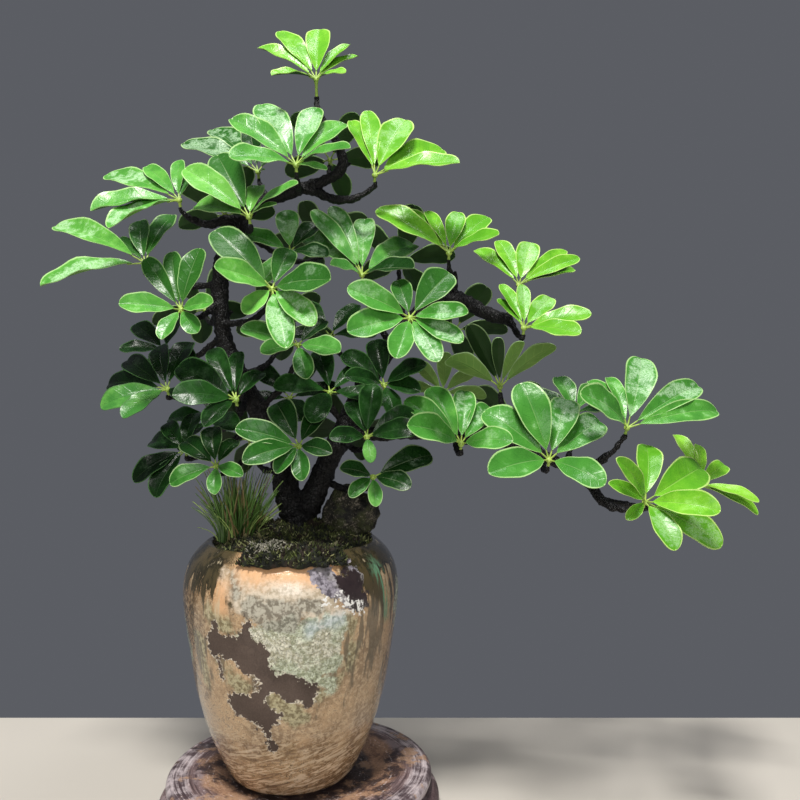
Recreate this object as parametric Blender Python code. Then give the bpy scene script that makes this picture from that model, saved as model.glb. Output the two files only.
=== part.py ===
"""Umbrella tree in a glazed jar on a round wooden stand.

Metres, +Z up. The jar's axis is the Z axis, the stand's underside is z = 0
and the front of the plant looks along -Y.
"""

import math
import random

import bmesh
import bpy
from mathutils import Matrix, Vector

MM = 0.001

# Fit between neighbours
GAP = 0.3 * MM
SIDE_PLAY = 0.45 * MM
HOLE_PLAY = 0.6 * MM
WELD = 0.01 * MM

# Stand
STAND_HEIGHT = 40 * MM
STAND_PLACE = Vector((8 * MM, 0, 0))
STAND_SIDES = 36
DISH_DEPTH = 6 * MM
# Radius and height, from the underside's middle round the rim to the dish's middle
STAND_PROFILE = (
    (0, 0), (122 * MM, 0), (128 * MM, 6 * MM), (128 * MM, 16 * MM), (124 * MM, 21 * MM),
    (116 * MM, 24 * MM), (117 * MM, 28 * MM), (121 * MM, 31 * MM), (121 * MM, 36 * MM),
    (117.5 * MM, STAND_HEIGHT), (92 * MM, 39.5 * MM), (64 * MM, STAND_HEIGHT - DISH_DEPTH),
    (0, STAND_HEIGHT - DISH_DEPTH),
)

# Jar, heights above its own foot
JAR_FOOT = STAND_HEIGHT - DISH_DEPTH + GAP
JAR_FLOOR = 8 * MM
JAR_SIDES = 32
DRAIN_RADIUS = 7 * MM
MOUTH_HEIGHT = 216 * MM
# Radius and height of the outside, from the foot up
JAR_OUTSIDE = (
    (46 * MM, 0), (50 * MM, 1.5 * MM), (57.5 * MM, 8 * MM), (68 * MM, 29 * MM),
    (77 * MM, 52 * MM), (86.5 * MM, 86 * MM), (93.5 * MM, 128 * MM), (97.2 * MM, 156 * MM),
    (98.2 * MM, 175 * MM), (95.5 * MM, 192 * MM), (89 * MM, 205 * MM), (79 * MM, 215 * MM),
    (76 * MM, MOUTH_HEIGHT),
)
# Radius and height of the inside, from the mouth down
JAR_INSIDE = (
    (72 * MM, 215 * MM), (81 * MM, 203 * MM), (90 * MM, 187 * MM), (91 * MM, 156 * MM),
    (86.5 * MM, 124 * MM), (77 * MM, 74 * MM), (62 * MM, 30 * MM), (44 * MM, JAR_FLOOR),
)

# Soil, its top as a height above the floor
SOIL_TOP = JAR_FOOT + 206 * MM
SOIL_RADIUS = 77 * MM
CLEAR_RISE = 40 * MM

# Moss, heights above the soil
MOSS_SIDES = 24
MOSS_EDGE = 8 * MM
MOSS_LUMP = 1.6 * MM
MOSS_PROFILE = (
    (0, 0), (71 * MM, 0), (71 * MM, MOSS_EDGE), (58 * MM, 15 * MM), (34 * MM, 21 * MM),
    (12 * MM, 24 * MM), (0, 24 * MM),
)
# Cushion of moss over the front of the rim, directions in degrees, heights from the rim
CUSHION_FROM = -114
CUSHION_TO = -52
CUSHION_STEPS = 8
CUSHION_UNDER = (
    (58 * MM, -3 * MM), (70.5 * MM, -2 * MM), (71.2 * MM, 0.6 * MM), (80 * MM, 0.5 * MM),
    (90.5 * MM, -9.4 * MM),
)
CUSHION_TOP = ((92.5 * MM, -8.3 * MM), (91 * MM, -2 * MM), (83 * MM, 5 * MM), (60 * MM, 6 * MM))
CUSHION_END_TOP = (
    (91 * MM, -8.6 * MM), (88 * MM, -4.5 * MM), (80 * MM, 3 * MM), (60 * MM, 3 * MM),
)

# Foot of the trunks, heights from the top of the soil
TRUNK_PLACE = Vector((5 * MM, 0, SOIL_TOP))
TRUNK_FOOT_RADIUS = 14 * MM
TRUNK_FOOT_DEPTH = 30 * MM
TRUNK_FOOT_RISE = 27 * MM
TRUNK_FOOT_SIDES = 14

# Rock
ROCK_PLACE = Vector((53 * MM, 7 * MM, SOIL_TOP + GAP))
ROCK_HEIGHT = 62 * MM
ROCK_SIDES = 12
ROCK_ROUGHNESS = 0.09
ROCK_PLAIN_LEVEL = 0.2
ROCK_FOOT_SHIFT = -4 * MM
# Share of the height, half width and half depth
ROCK_LEVELS = (
    (0, 17 * MM, 15 * MM), (0.17, 17.5 * MM, 16 * MM), (0.26, 27 * MM, 20 * MM),
    (0.45, 30 * MM, 24 * MM), (0.62, 28 * MM, 22 * MM), (0.8, 21 * MM, 17 * MM),
    (0.93, 12 * MM, 10 * MM),
)

# Grass, heights from the top of the soil
GRASS_PLACE = Vector((-50 * MM, -12 * MM, SOIL_TOP))
GRASS_RADIUS = 14 * MM
GRASS_SIDES = 12
GRASS_DEPTH = 6 * MM
GRASS_CROWN = 20 * MM
GRASS_SHOULDER = 5 * MM
GRASS_SPREAD = 8.5 * MM
GRASS_BLADES = 36
GRASS_TALLEST = 60 * MM
GRASS_DROP = 22 * MM
GRASS_LEAN_MIDDLE = 5 * MM
GRASS_LEAN_EDGE = 32 * MM
BLADE_BEND_RISE = 0.6
BLADE_BEND_LEAN = 0.35
BLADE_TAPER = 0.85
BLADE_WIDTH = 2.0 * MM
BLADE_THICKNESS = 0.9 * MM
BLADE_TURN_PLAY = 0.15
BLADE_LEAN_PLAY = (0.7, 1.1)
BLADE_HEIGHT_PLAY = (0.85, 1.1)
GOLDEN_ANGLE = math.pi * (3 - math.sqrt(5))

# Leaves
LEAFLET_THICKNESS = 1.2 * MM
LEAFLET_BREADTH = {"lime": 0.36, "fresh": 0.41, "mid": 0.41, "deep": 0.4}
LEAST_BREADTH = 0.22
WIDEST_SHARE = 0.7
ROOM_USED = 1.05
# Leaves with slimmer blades
SLIM_LEAVES = {"leaf_right_shade": 0.72, "leaf_right_under": 0.8}
TIP_BREADTH = 0.42
ARCH = 0.28
FOLD = 0.22
ROOT_DEPTH = 1.2 * MM
PETIOLE_LENGTH = 6 * MM
CROWN_PETIOLE = 15 * MM
PETIOLE_RISE = 0.75
PETIOLE_RADIUS = 1.3 * MM
PETIOLE_ROUNDNESS = 0
NECK_SHARE = 0.65
HUB_RADIUS = 3.2 * MM
HUB_HEIGHT = 0.6
HUB_TOP = 0.7
# Share of the leaflet's length and share of its full breadth
BLADE_STATIONS = ((0.14, 0.12), (0.48, 0.88), (0.8, 0.98))
PLAIN_STATIONS = ((0.15, 0.14), (0.68, 1.0))

# Where the plant is looked at from, to turn places in the picture into real ones
VIEW_DISTANCE = 744 * MM
VIEW_HEIGHT = 379 * MM
VIEW_SIDE = 100 * MM
PICTURE_MIDDLE = 400
PICTURE_STEP = 0.93 * MM

SEED = 7


def seen(u, v, depth):
    """Real place of a picture position at a depth in mm behind the jar's axis."""
    away = depth * MM
    step = PICTURE_STEP * (VIEW_DISTANCE + away) / VIEW_DISTANCE
    across = (u - PICTURE_MIDDLE) * step + VIEW_SIDE
    up = VIEW_HEIGHT - (v - PICTURE_MIDDLE) * step
    return Vector((across, away, up))


# Leaves seen in the picture: name, tone, hub (across, down, depth in mm),
# facing (turn to the right, rise in degrees), foot of its twig on the wood
# (across, down, depth in mm), leaflet tips (across, down)
SEEN_LEAVES = (
    ("leaf_crown", "lime", (316, 79, -10), (0, 50), (317, 112, -10),
     ((259, 50), (280, 34), (320, 31.5), (349, 47), (358, 58), (346, 74), (272, 77))),
    ("leaf_top_front", "fresh", (296, 165, -55), (0, 40), (300, 190, 0),
     ((232, 121), (262, 107), (317, 110), (344, 126), (351, 150), (327, 171), (228, 159))),
    ("leaf_top_right", "lime", (375, 175, -20), (10, 45), (350, 200, -5),
     ((351, 123), (367, 113), (405, 122), (442, 152), (460, 165))),
    ("leaf_shoulder_left", "fresh", (179, 200, -28), (-15, 48), (198, 223, -5),
     ((107, 177), (147, 168), (180, 161), (191, 179), (92, 213), (110, 230))),
    ("leaf_far_left", "fresh", (145, 263, -5), (-20, 50), (207, 283, 0),
     ((57, 229), (41, 289), (120, 239), (173, 217), (141, 222))),
    ("leaf_left_front", "fresh", (181, 310, -50), (-10, 25), (214, 300, -2),
     ((119.5, 305), (147, 260), (173, 254), (201, 249), (214, 303), (198, 334), (162, 340))),
    ("leaf_shoulder_front", "fresh", (249, 217, -42), (-10, 40), (246, 224, 2),
     ((186, 171), (197, 207), (218, 157), (299, 185), (278, 205), (260, 187))),
    ("leaf_shoulder_back", "mid", (258, 172, 40), (-10, 50), (275, 195, 5),
     ((183, 145), (214, 132), (250, 130), (290, 142), (265, 170))),
    ("leaf_middle_left", "fresh", (272, 289, -68), (5, 25), (235, 322, -4),
     ((215, 232), (214, 268), (244, 315), (286, 350), (315, 327), (290, 250), (332, 281))),
    ("leaf_middle_behind", "mid", (290, 252, -14), (0, 40), (262, 262, 8),
     ((245, 235), (287, 212), (320, 225), (328, 258), (262, 285))),
    ("leaf_middle", "mid", (362, 275, -15), (0, 40), (372, 330, 12),
     ((312, 212), (303, 238), (332, 208), (365, 220), (413, 246), (414, 270), (330, 266))),
    ("leaf_middle_front", "fresh", (410, 318, -70), (0, 25), (400, 330, 12),
     ((347, 289), (347, 333), (396, 359), (438, 362), (463, 343), (469, 314), (449, 274),
      (398, 282))),
    ("leaf_under_middle", "mid", (298, 345, -35), (0, 35), (258, 410, 4),
     ((340, 353), (307, 380), (261, 354), (240, 330), (275, 312), (325, 322))),
    ("leaf_low_left", "deep", (167, 389, -12), (-10, 30), (216, 372, 6),
     ((107, 383), (101, 405), (123, 416), (126, 359), (160, 345), (190, 341), (190, 400))),
    ("leaf_low_left_back", "deep", (165, 350, 48), (-15, 40), (222, 335, 6),
     ((136, 325), (120, 350), (146, 372), (180, 318), (195, 362))),
    ("leaf_inner_left", "deep", (236, 400, -50), (-5, 30), (246, 392, 6),
     ((178, 365), (173, 393), (212, 347), (238, 350), (204, 425), (262, 372))),
    ("leaf_bottom_left", "mid", (216, 466, -48), (-5, 35), (262, 432, 2),
     ((170, 483), (215, 494), (242, 475), (237, 440), (184, 440), (212, 426))),
    ("leaf_bottom_far_left", "deep", (185, 450, 0), (-15, 30), (250, 424, 10),
     ((133, 480), (154, 497), (167, 422), (150, 440), (196, 412))),
    ("leaf_bottom_middle", "mid", (299, 446, -62), (0, 30), (288, 484, 0),
     ((236, 428), (244, 460), (276, 472), (302, 480), (331, 452), (320, 412), (276, 402))),
    ("leaf_under_right", "deep", (367, 437, -55), (0, 30), (342, 440, 4),
     ((331, 437), (371, 462), (373, 384), (352, 400), (415, 411), (418, 428))),
    ("leaf_bottom_right", "mid", (373, 477, -42), (5, 35), (326, 482, 0),
     ((341, 468), (376, 506), (432, 454), (410, 486), (350, 496))),
    ("leaf_inner_right", "deep", (384, 385, -17), (0, 30), (372, 380, 12),
     ((343, 353), (375, 339), (425, 364), (420, 390), (396, 416), (346, 376))),
    ("leaf_right_low", "fresh", (461, 444, -45), (0, 30), (455, 436, 12),
     ((406, 399), (408, 424), (430, 387), (465, 390), (490, 406), (511, 440))),
    ("leaf_right_under", "mid", (443, 393, 35), (180, 40), (425, 430, 15),
     ((414, 360), (446, 352), (476, 370), (486, 396), (404, 388))),
    ("leaf_right_shade", "mid", (500, 387, 7), (180, 40), (508, 441, 8),
     ((447, 357), (469, 324), (498, 336), (522, 340), (554, 345))),
    ("leaf_right_top", "lime", (449, 253, -15), (0, 40), (453, 285, 8),
     ((377, 211), (402, 212), (427, 213), (458, 214), (487, 219), (499, 236))),
    ("leaf_right_high", "lime", (519, 285, 12), (5, 40), (508, 318, 0),
     ((476, 252), (498, 242), (530, 244), (565, 252), (579, 259), (573, 271))),
    ("leaf_right_front", "lime", (524, 328, -35), (5, 40), (510, 322, -2),
     ((501, 286), (522, 286), (550, 299), (591, 315), (581, 335), (498, 300))),
    ("leaf_arm_front", "fresh", (549, 460, -60), (0, 30), (540, 456, 2),
     ((484, 410), (521, 382), (567, 398), (601, 420), (604, 483), (490, 472))),
    ("leaf_arm_top", "fresh", (627, 428, -20), (10, 35), (598, 463, -2),
     ((589, 379), (608, 376), (642, 356), (700, 384), (719, 409), (584, 393))),
    ("leaf_arm_behind", "mid", (575, 413, 40), (0, 50), (567, 468, 2),
     ((530, 392), (558, 376), (596, 384), (614, 410), (548, 428))),
    ("leaf_tip_front", "lime", (645, 502, -50), (5, 25), (612, 506, -24),
     ((619, 459), (647, 444), (611, 483), (627, 519), (676, 548), (722, 544), (721, 510),
      (703, 466))),
    ("leaf_tip", "lime", (698, 485, 12), (20, 40), (601, 500, -15),
     ((676, 434), (698, 443), (725, 464), (759, 500), (759, 513))),
)

# Leaves that others hide: name, tone, hub, facing, leaflet length,
# foot of its twig, number of leaflets, roll of the first one in degrees
HIDDEN_LEAVES = (
    ("leaf_dark_left", "deep", (214, 420, 52), (-30, 45), 56, (246, 400, 8), 5, 10),
    ("leaf_dark_middle", "deep", (290, 398, 52), (0, 50), 56, (262, 420, 8), 5, 30),
    ("leaf_dark_right", "deep", (330, 392, -14), (10, 45), 54, (345, 425, 8), 5, 0),
    ("leaf_dark_high", "deep", (330, 336, 62), (0, 50), 56, (382, 358, 15), 5, 20),
    ("leaf_back_crown", "fresh", (330, 160, 52), (170, 45), 60, (332, 176, -3), 5, 15),
    ("leaf_back_shoulder", "fresh", (225, 215, 72), (200, 45), 60, (226, 245, 2), 5, 0),
    ("leaf_back_high", "mid", (320, 250, 92), (180, 50), 62, (240, 230, 4), 5, 40),
    ("leaf_back_left", "mid", (205, 310, 95), (210, 40), 60, (222, 300, 4), 5, 10),
    ("leaf_back_middle", "mid", (285, 330, 105), (180, 45), 62, (240, 375, 8), 5, 25),
    ("leaf_back_right", "fresh", (400, 262, 80), (165, 45), 62, (404, 326, 15), 5, 5),
    ("leaf_back_low", "deep", (250, 440, 98), (195, 35), 58, (284, 470, 0), 5, 30),
    ("leaf_back_lower", "deep", (350, 430, 92), (170, 40), 58, (334, 450, 4), 5, 15),
    ("leaf_back_bough", "mid", (455, 330, 80), (160, 45), 60, (441, 297, 8), 5, 20),
    ("leaf_back_arm", "mid", (515, 424, 82), (170, 40), 58, (500, 441, 8), 5, 0),
)
LIFT = 0.22
# Real length over the length in the picture, for the longest leaflet and at most
LONGEST_SLANT = 1.03
SHORTEST_SLANT = 1.28
# Hidden leaves: play of a leaflet's turn, and the shortest leaflet
RING_PLAY = 0.12
SHORTEST_HIDDEN = 0.86

# Boughs: name, then stations (across, down, depth, radius in mm)
BOUGHS = (
    ("left_trunk", ((299, 524, 0, 11), (294, 512, 0, 12.5), (286, 488, 0, 11), (283, 466, 0, 10),
                    (266, 425, 5, 9.5), (244, 385, 8, 9), (226, 345, 6, 8), (221, 318, 2, 7.5),
                    (220, 288, 0, 7.5), (223, 258, 0, 7), (232, 236, 2, 6.5), (246, 217, 5, 6),
                    (258, 203, 6, 5.5), (282, 196, 4, 5), (306, 187, 0, 5), (332, 177, -3, 4.8),
                    (343, 166, -5, 4.5), (341, 152, -6, 4.2), (333, 136, -7, 4), (323, 123, -8, 4),
                    (317, 110, -10, 3.8))),
    ("right_trunk", ((301, 523, 0, 10.5), (310, 502, 0, 11.5), (321, 478, 0, 11), (331, 455, 2, 10),
                     (344, 428, 8, 9.5), (358, 398, 12, 9), (378, 364, 15, 8.5),
                     (404, 330, 15, 7.5), (430, 303, 10, 7), (447, 297, 8, 6.5),
                     (467, 303, 5, 6.5), (490, 315, 2, 6), (510, 320, 0, 5))),
    ("low_arm", ((342, 430, 8, 7.5), (380, 434, 14, 6.5), (420, 432, 15, 6), (470, 438, 12, 5.5),
                 (521, 446, 6, 5.2), (548, 458, 3, 5), (570, 470, 0, 4.8), (589, 483, -6, 4.6),
                 (601, 500, -15, 4.2), (615, 508, -26, 3.6))),
    ("arm_fork", ((582, 479, -3, 4), (594, 466, -3, 3.8), (606, 458, -4, 3.5))),
    ("top_fork", ((304, 188, 0, 4.5), (318, 193, -2, 4), (332, 199, -4, 3.8), (351, 200, -6, 3.4))),
    ("left_fork", ((243, 222, 4, 4.5), (228, 219, 0, 4), (211, 224, -4, 3.8),
                   (197, 222, -6, 3.4))),
    ("bough_fork", ((446, 297, 8, 5), (454, 286, 8, 4.2), (452, 272, 5, 3.8))),
)
BOUGH_ROUNDNESS = 1
BOUGH_PLAY = (0.93, 1.1)
TWIG_ROUNDNESS = 0
TWIG_RADIUS = 2.6 * MM
TWIG_TAPER = (1.35, 1.1, 0.9, 0.8)
TWIG_SWING = 0.3
TWIG_SAG = 0.05
TWIG_BEND = 0.35
TWIG_STRAIGHT = 4 * MM


def clear_scene():
    for obj in list(bpy.data.objects):
        bpy.data.objects.remove(obj, do_unlink=True)


def finish(name, colour, roughness, metallic=0.0):
    """Plain surface of one colour."""
    mat = bpy.data.materials.new(name)
    mat.use_nodes = True
    shader = mat.node_tree.nodes["Principled BSDF"]
    shader.inputs["Base Color"].default_value = (*colour, 1.0)
    shader.inputs["Roughness"].default_value = roughness
    shader.inputs["Metallic"].default_value = metallic
    return mat


def add_object(name, data, mat, place=(0, 0, 0)):
    data.materials.append(mat)
    obj = bpy.data.objects.new(name, data)
    obj.location = place
    bpy.context.scene.collection.objects.link(obj)
    bpy.context.view_layer.update()
    return obj


def add_shape(name, shape, mat, place=(0, 0, 0), smooth=False):
    """Object from a bmesh, with its faces turned outwards."""
    bmesh.ops.recalc_face_normals(shape, faces=shape.faces[:])
    for face in shape.faces:
        face.smooth = smooth
    mesh = bpy.data.meshes.new(name)
    shape.to_mesh(mesh)
    shape.free()
    return add_object(name, mesh, mat, place)


def turned(name, profile, sides, mat, place=(0, 0, 0), closed=False):
    """Profile of (radius, height) points spun round the upright axis."""
    shape = bmesh.new()
    points = [shape.verts.new((radius, 0, height)) for radius, height in profile]
    edges = [shape.edges.new(pair) for pair in zip(points, points[1:])]
    if closed:
        edges.append(shape.edges.new((points[-1], points[0])))
    bmesh.ops.spin(shape, geom=points + edges, cent=(0, 0, 0), axis=(0, 0, 1),
                   angle=2 * math.pi, steps=sides, use_merge=True)
    bmesh.ops.remove_doubles(shape, verts=shape.verts[:], dist=WELD)
    return add_shape(name, shape, mat, place, smooth=True)


def post(name, radius, low, high, sides, mat, place):
    """Plain upright round post."""
    shape = bmesh.new()
    middle = Matrix.Translation((0, 0, (low + high) / 2))
    bmesh.ops.create_cone(shape, cap_ends=True, segments=sides, radius1=radius,
                          radius2=radius, depth=high - low, matrix=middle)
    return add_shape(name, shape, mat, place)


def rod(name, path, radii, roundness, mat, place=(0, 0, 0)):
    """Tapered rod along a path: a bevelled curve with filled ends, turned into a mesh."""
    curve = bpy.data.curves.new(name, "CURVE")
    curve.dimensions = "3D"
    curve.bevel_depth = 1.0
    curve.bevel_resolution = roundness
    curve.use_fill_caps = True
    line = curve.splines.new("POLY")
    line.points.add(len(path) - 1)
    for point, spot, radius in zip(line.points, path, radii):
        point.co = (*spot, 1.0)
        point.radius = radius
    guide = bpy.data.objects.new(name, curve)
    bpy.context.scene.collection.objects.link(guide)
    mesh = bpy.data.meshes.new_from_object(guide.evaluated_get(
        bpy.context.evaluated_depsgraph_get()))
    bpy.data.objects.remove(guide, do_unlink=True)
    shape = bmesh.new()
    shape.from_mesh(mesh)
    bmesh.ops.remove_doubles(shape, verts=shape.verts[:], dist=WELD)
    return add_shape(name, shape, mat, place)


def combine(body, others, operation):
    """Fuses the others into the body, or cuts them from it."""
    group = bpy.data.collections.new("operands")
    bpy.context.scene.collection.children.link(group)
    for obj in others:
        group.objects.link(obj)
    step = body.modifiers.new(operation.lower(), "BOOLEAN")
    step.operation = operation
    step.operand_type = "COLLECTION"
    step.collection = group
    step.solver = "EXACT"
    bpy.context.view_layer.update()
    bpy.context.view_layer.objects.active = body
    bpy.ops.object.modifier_apply(modifier=step.name)
    for obj in others:
        bpy.data.objects.remove(obj, do_unlink=True)
    bpy.data.collections.remove(group)
    return body


# Stand and jar

def build_stand():
    mat = finish("stand_wood", (0.13, 0.08, 0.075), 0.55)
    return turned("stand", STAND_PROFILE, STAND_SIDES, mat, STAND_PLACE)


def build_jar():
    mat = finish("jar_glaze", (0.36, 0.27, 0.17), 0.3)
    drain = ((DRAIN_RADIUS, JAR_FLOOR), (DRAIN_RADIUS, 0))
    profile = JAR_OUTSIDE + JAR_INSIDE + drain
    return turned("jar", profile, JAR_SIDES, mat, (0, 0, JAR_FOOT), closed=True)


# Filling

def holes(rise, mat):
    """Posts that cut the plain holes of the trunk foot and the grass."""
    trunk = post("trunk_hole", TRUNK_FOOT_RADIUS + HOLE_PLAY, -TRUNK_FOOT_DEPTH - GAP, rise,
                 TRUNK_FOOT_SIDES, mat, TRUNK_PLACE)
    grass = post("grass_hole", GRASS_RADIUS + HOLE_PLAY, -GRASS_DEPTH - GAP, rise,
                 GRASS_SIDES, mat, GRASS_PLACE)
    return [trunk, grass]


def build_soil():
    """Filling of the jar, a little smaller than its inside all round."""
    mat = finish("soil", (0.045, 0.033, 0.022), 0.95)
    top = SOIL_TOP - JAR_FOOT
    side = [(radius - SIDE_PLAY, height + GAP) for radius, height in reversed(JAR_INSIDE)
            if height < top]
    profile = [(0, JAR_FLOOR + GAP)] + side + [(SOIL_RADIUS, top), (0, top)]
    soil = turned("soil", profile, JAR_SIDES, mat, (0, 0, JAR_FOOT))
    return combine(soil, holes(CLEAR_RISE, mat), "DIFFERENCE")


def rock_body(name, mat, swell=0.0):
    """Rough upright stone, narrow at its foot so that it clears the jar's rim."""
    rng = random.Random(SEED)
    shape = bmesh.new()
    loops = []
    for level, wide, deep in ROCK_LEVELS:
        rough = ROCK_ROUGHNESS if level > ROCK_PLAIN_LEVEL else 0
        shift = 0 if rough else ROCK_FOOT_SHIFT
        loop = []
        for k in range(ROCK_SIDES):
            turn = 2 * math.pi * k / ROCK_SIDES
            out = 1 + rng.uniform(-rough, rough)
            height = level * ROCK_HEIGHT + rng.uniform(-rough, rough) * ROCK_HEIGHT / 3
            x = (wide * out + swell) * math.cos(turn) + shift
            y = (deep * out + swell) * math.sin(turn)
            loop.append(shape.verts.new((x, y, height if level else -swell)))
        loops.append(loop)
    for low, high in zip(loops, loops[1:]):
        for k in range(ROCK_SIDES):
            n = (k + 1) % ROCK_SIDES
            shape.faces.new((low[k], low[n], high[n]))
            shape.faces.new((low[k], high[n], high[k]))
    shape.faces.new(loops[0])
    peak = shape.verts.new((0, 0, ROCK_HEIGHT + swell))
    for k in range(ROCK_SIDES):
        shape.faces.new((loops[-1][k], loops[-1][(k + 1) % ROCK_SIDES], peak))
    return add_shape(name, shape, mat, ROCK_PLACE)


def build_rock():
    return rock_body("rock", finish("rock", (0.03, 0.03, 0.025), 0.85))


def build_moss():
    """Lumpy mound over the soil, with a cushion that hangs over the front of the rim."""
    mat = finish("moss", (0.045, 0.05, 0.02), 0.95)
    rng = random.Random(SEED + 1)
    moss = turned("moss", MOSS_PROFILE, MOSS_SIDES, mat, (0, 0, SOIL_TOP + GAP))
    for point in moss.data.vertices:
        if point.co.z > MOSS_EDGE + MOSS_LUMP:
            point.co.z += rng.uniform(-MOSS_LUMP, MOSS_LUMP)
    moss = combine(moss, [moss_cushion(mat, rng)], "UNION")
    cutters = holes(CLEAR_RISE, mat) + [rock_body("rock_hole", mat, swell=2 * GAP)]
    return combine(moss, cutters, "DIFFERENCE")


def moss_cushion(mat, rng):
    """Length of moss over the rim, thinner at both ends."""
    shape = bmesh.new()
    loops = []
    for i in range(CUSHION_STEPS + 1):
        turn = math.radians(CUSHION_FROM + (CUSHION_TO - CUSHION_FROM) * i / CUSHION_STEPS)
        end = i in (0, CUSHION_STEPS)
        lump = 0 if end else rng.uniform(-MOSS_LUMP, MOSS_LUMP) / 2
        loop = []
        for radius, height in CUSHION_UNDER:
            loop.append(shape.verts.new((radius * math.cos(turn), radius * math.sin(turn), height)))
        for radius, height in CUSHION_END_TOP if end else CUSHION_TOP:
            out = radius + lump
            loop.append(shape.verts.new((out * math.cos(turn), out * math.sin(turn), height + lump)))
        loops.append(loop)
    for near, far in zip(loops, loops[1:]):
        for k in range(len(near)):
            n = (k + 1) % len(near)
            shape.faces.new((near[k], near[n], far[n]))
            shape.faces.new((near[k], far[n], far[k]))
    shape.faces.new(loops[0])
    shape.faces.new(loops[-1])
    return add_shape("cushion", shape, mat, (0, 0, JAR_FOOT + MOUTH_HEIGHT))


# Grass

def grass_blade(root, lean, height, mat):
    """Three-sided blade that bends outward and ends in a point."""
    side = Vector((-lean.y, lean.x, 0)).normalized() * BLADE_WIDTH / 2
    back = lean.normalized() * BLADE_THICKNESS
    bend = lean * BLADE_BEND_LEAN + Vector((0, 0, height * BLADE_BEND_RISE))
    shape = bmesh.new()
    low = [shape.verts.new(p) for p in (-side, side, back)]
    high = [shape.verts.new(bend + p * BLADE_TAPER) for p in (-side, side, back)]
    tip = shape.verts.new(lean + Vector((0, 0, height)))
    shape.faces.new(low)
    for k in range(3):
        n = (k + 1) % 3
        shape.faces.new((low[k], low[n], high[n]))
        shape.faces.new((low[k], high[n], high[k]))
        shape.faces.new((high[k], high[n], tip))
    return add_shape("blade", shape, mat, root)


def build_grass():
    """Tuft on a small crown, its blades set in a sunflower spiral."""
    mat = finish("grass", (0.06, 0.10, 0.025), 0.6)
    rng = random.Random(SEED + 2)
    shoulder = GRASS_CROWN - GRASS_SHOULDER
    profile = ((0, -GRASS_DEPTH), (GRASS_RADIUS, -GRASS_DEPTH), (GRASS_RADIUS, shoulder),
               (GRASS_SPREAD, GRASS_CROWN), (0, GRASS_CROWN))
    tuft = turned("grass", profile, GRASS_SIDES, mat, GRASS_PLACE)
    blades = []
    for i in range(GRASS_BLADES):
        turn = i * GOLDEN_ANGLE + rng.uniform(-BLADE_TURN_PLAY, BLADE_TURN_PLAY)
        out = math.sqrt((i + 0.5) / GRASS_BLADES)
        radial = Vector((math.cos(turn), math.sin(turn), 0))
        root = GRASS_PLACE + radial * out * GRASS_SPREAD + Vector((0, 0, shoulder))
        lean = radial * (GRASS_LEAN_MIDDLE + GRASS_LEAN_EDGE * out * rng.uniform(*BLADE_LEAN_PLAY))
        height = (GRASS_TALLEST - GRASS_DROP * out) * rng.uniform(*BLADE_HEIGHT_PLAY)
        blades.append(grass_blade(root, lean, height, mat))
    return combine(tuft, blades, "UNION")


# Leaves

def facing_of(turn, rise):
    """Direction in which a leaf shows its upper side."""
    flat = math.cos(math.radians(rise))
    across = math.sin(math.radians(turn)) * flat
    toward = math.cos(math.radians(turn)) * flat
    return Vector((across, -toward, math.sin(math.radians(rise))))


def seen_tips(hub_at, facing, tips):
    """Tips along their lines of sight. A leaflet that looks short points to the viewer or away."""
    depth = hub_at[2]
    hub = seen(*hub_at)
    longest = max((seen(u, v, depth) - hub).length for u, v in tips) * LONGEST_SLANT
    ends = []
    for u, v in tips:
        reach = (seen(u, v, depth) - hub).length
        real = min(longest, reach * SHORTEST_SLANT)
        away = math.sqrt(max(real ** 2 - reach ** 2, 0)) / MM
        choices = (seen(u, v, depth - away), seen(u, v, depth + away))
        ends.append(min(choices, key=lambda end: abs((end - hub).normalized().dot(facing) - LIFT)))
    return ends


def ring_tips(hub, facing, length, count, roll, rng):
    """Tips evenly round the facing direction, raised into a shallow cone."""
    side = facing.cross(Vector((0, 0, 1))).normalized()
    other = facing.cross(side)
    ends = []
    for i in range(count):
        turn = math.radians(roll) + 2 * math.pi * i / count + rng.uniform(-RING_PLAY, RING_PLAY)
        outward = side * math.cos(turn) + other * math.sin(turn)
        way = (outward + facing * LIFT).normalized()
        ends.append(hub + way * length * MM * rng.uniform(SHORTEST_HIDDEN, 1))
    return ends


def blade_breadth(hub, tip, ends, tone):
    """A leaflet's usual share of its length, or less where its neighbours stand close."""
    way = tip - hub
    angle = min(way.angle(end - hub) for end in ends if end is not tip)
    room = 2 * way.length * WIDEST_SHARE * math.tan(angle / 2) * ROOM_USED
    return max(min(way.length * LEAFLET_BREADTH[tone], room), way.length * LEAST_BREADTH)


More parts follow.
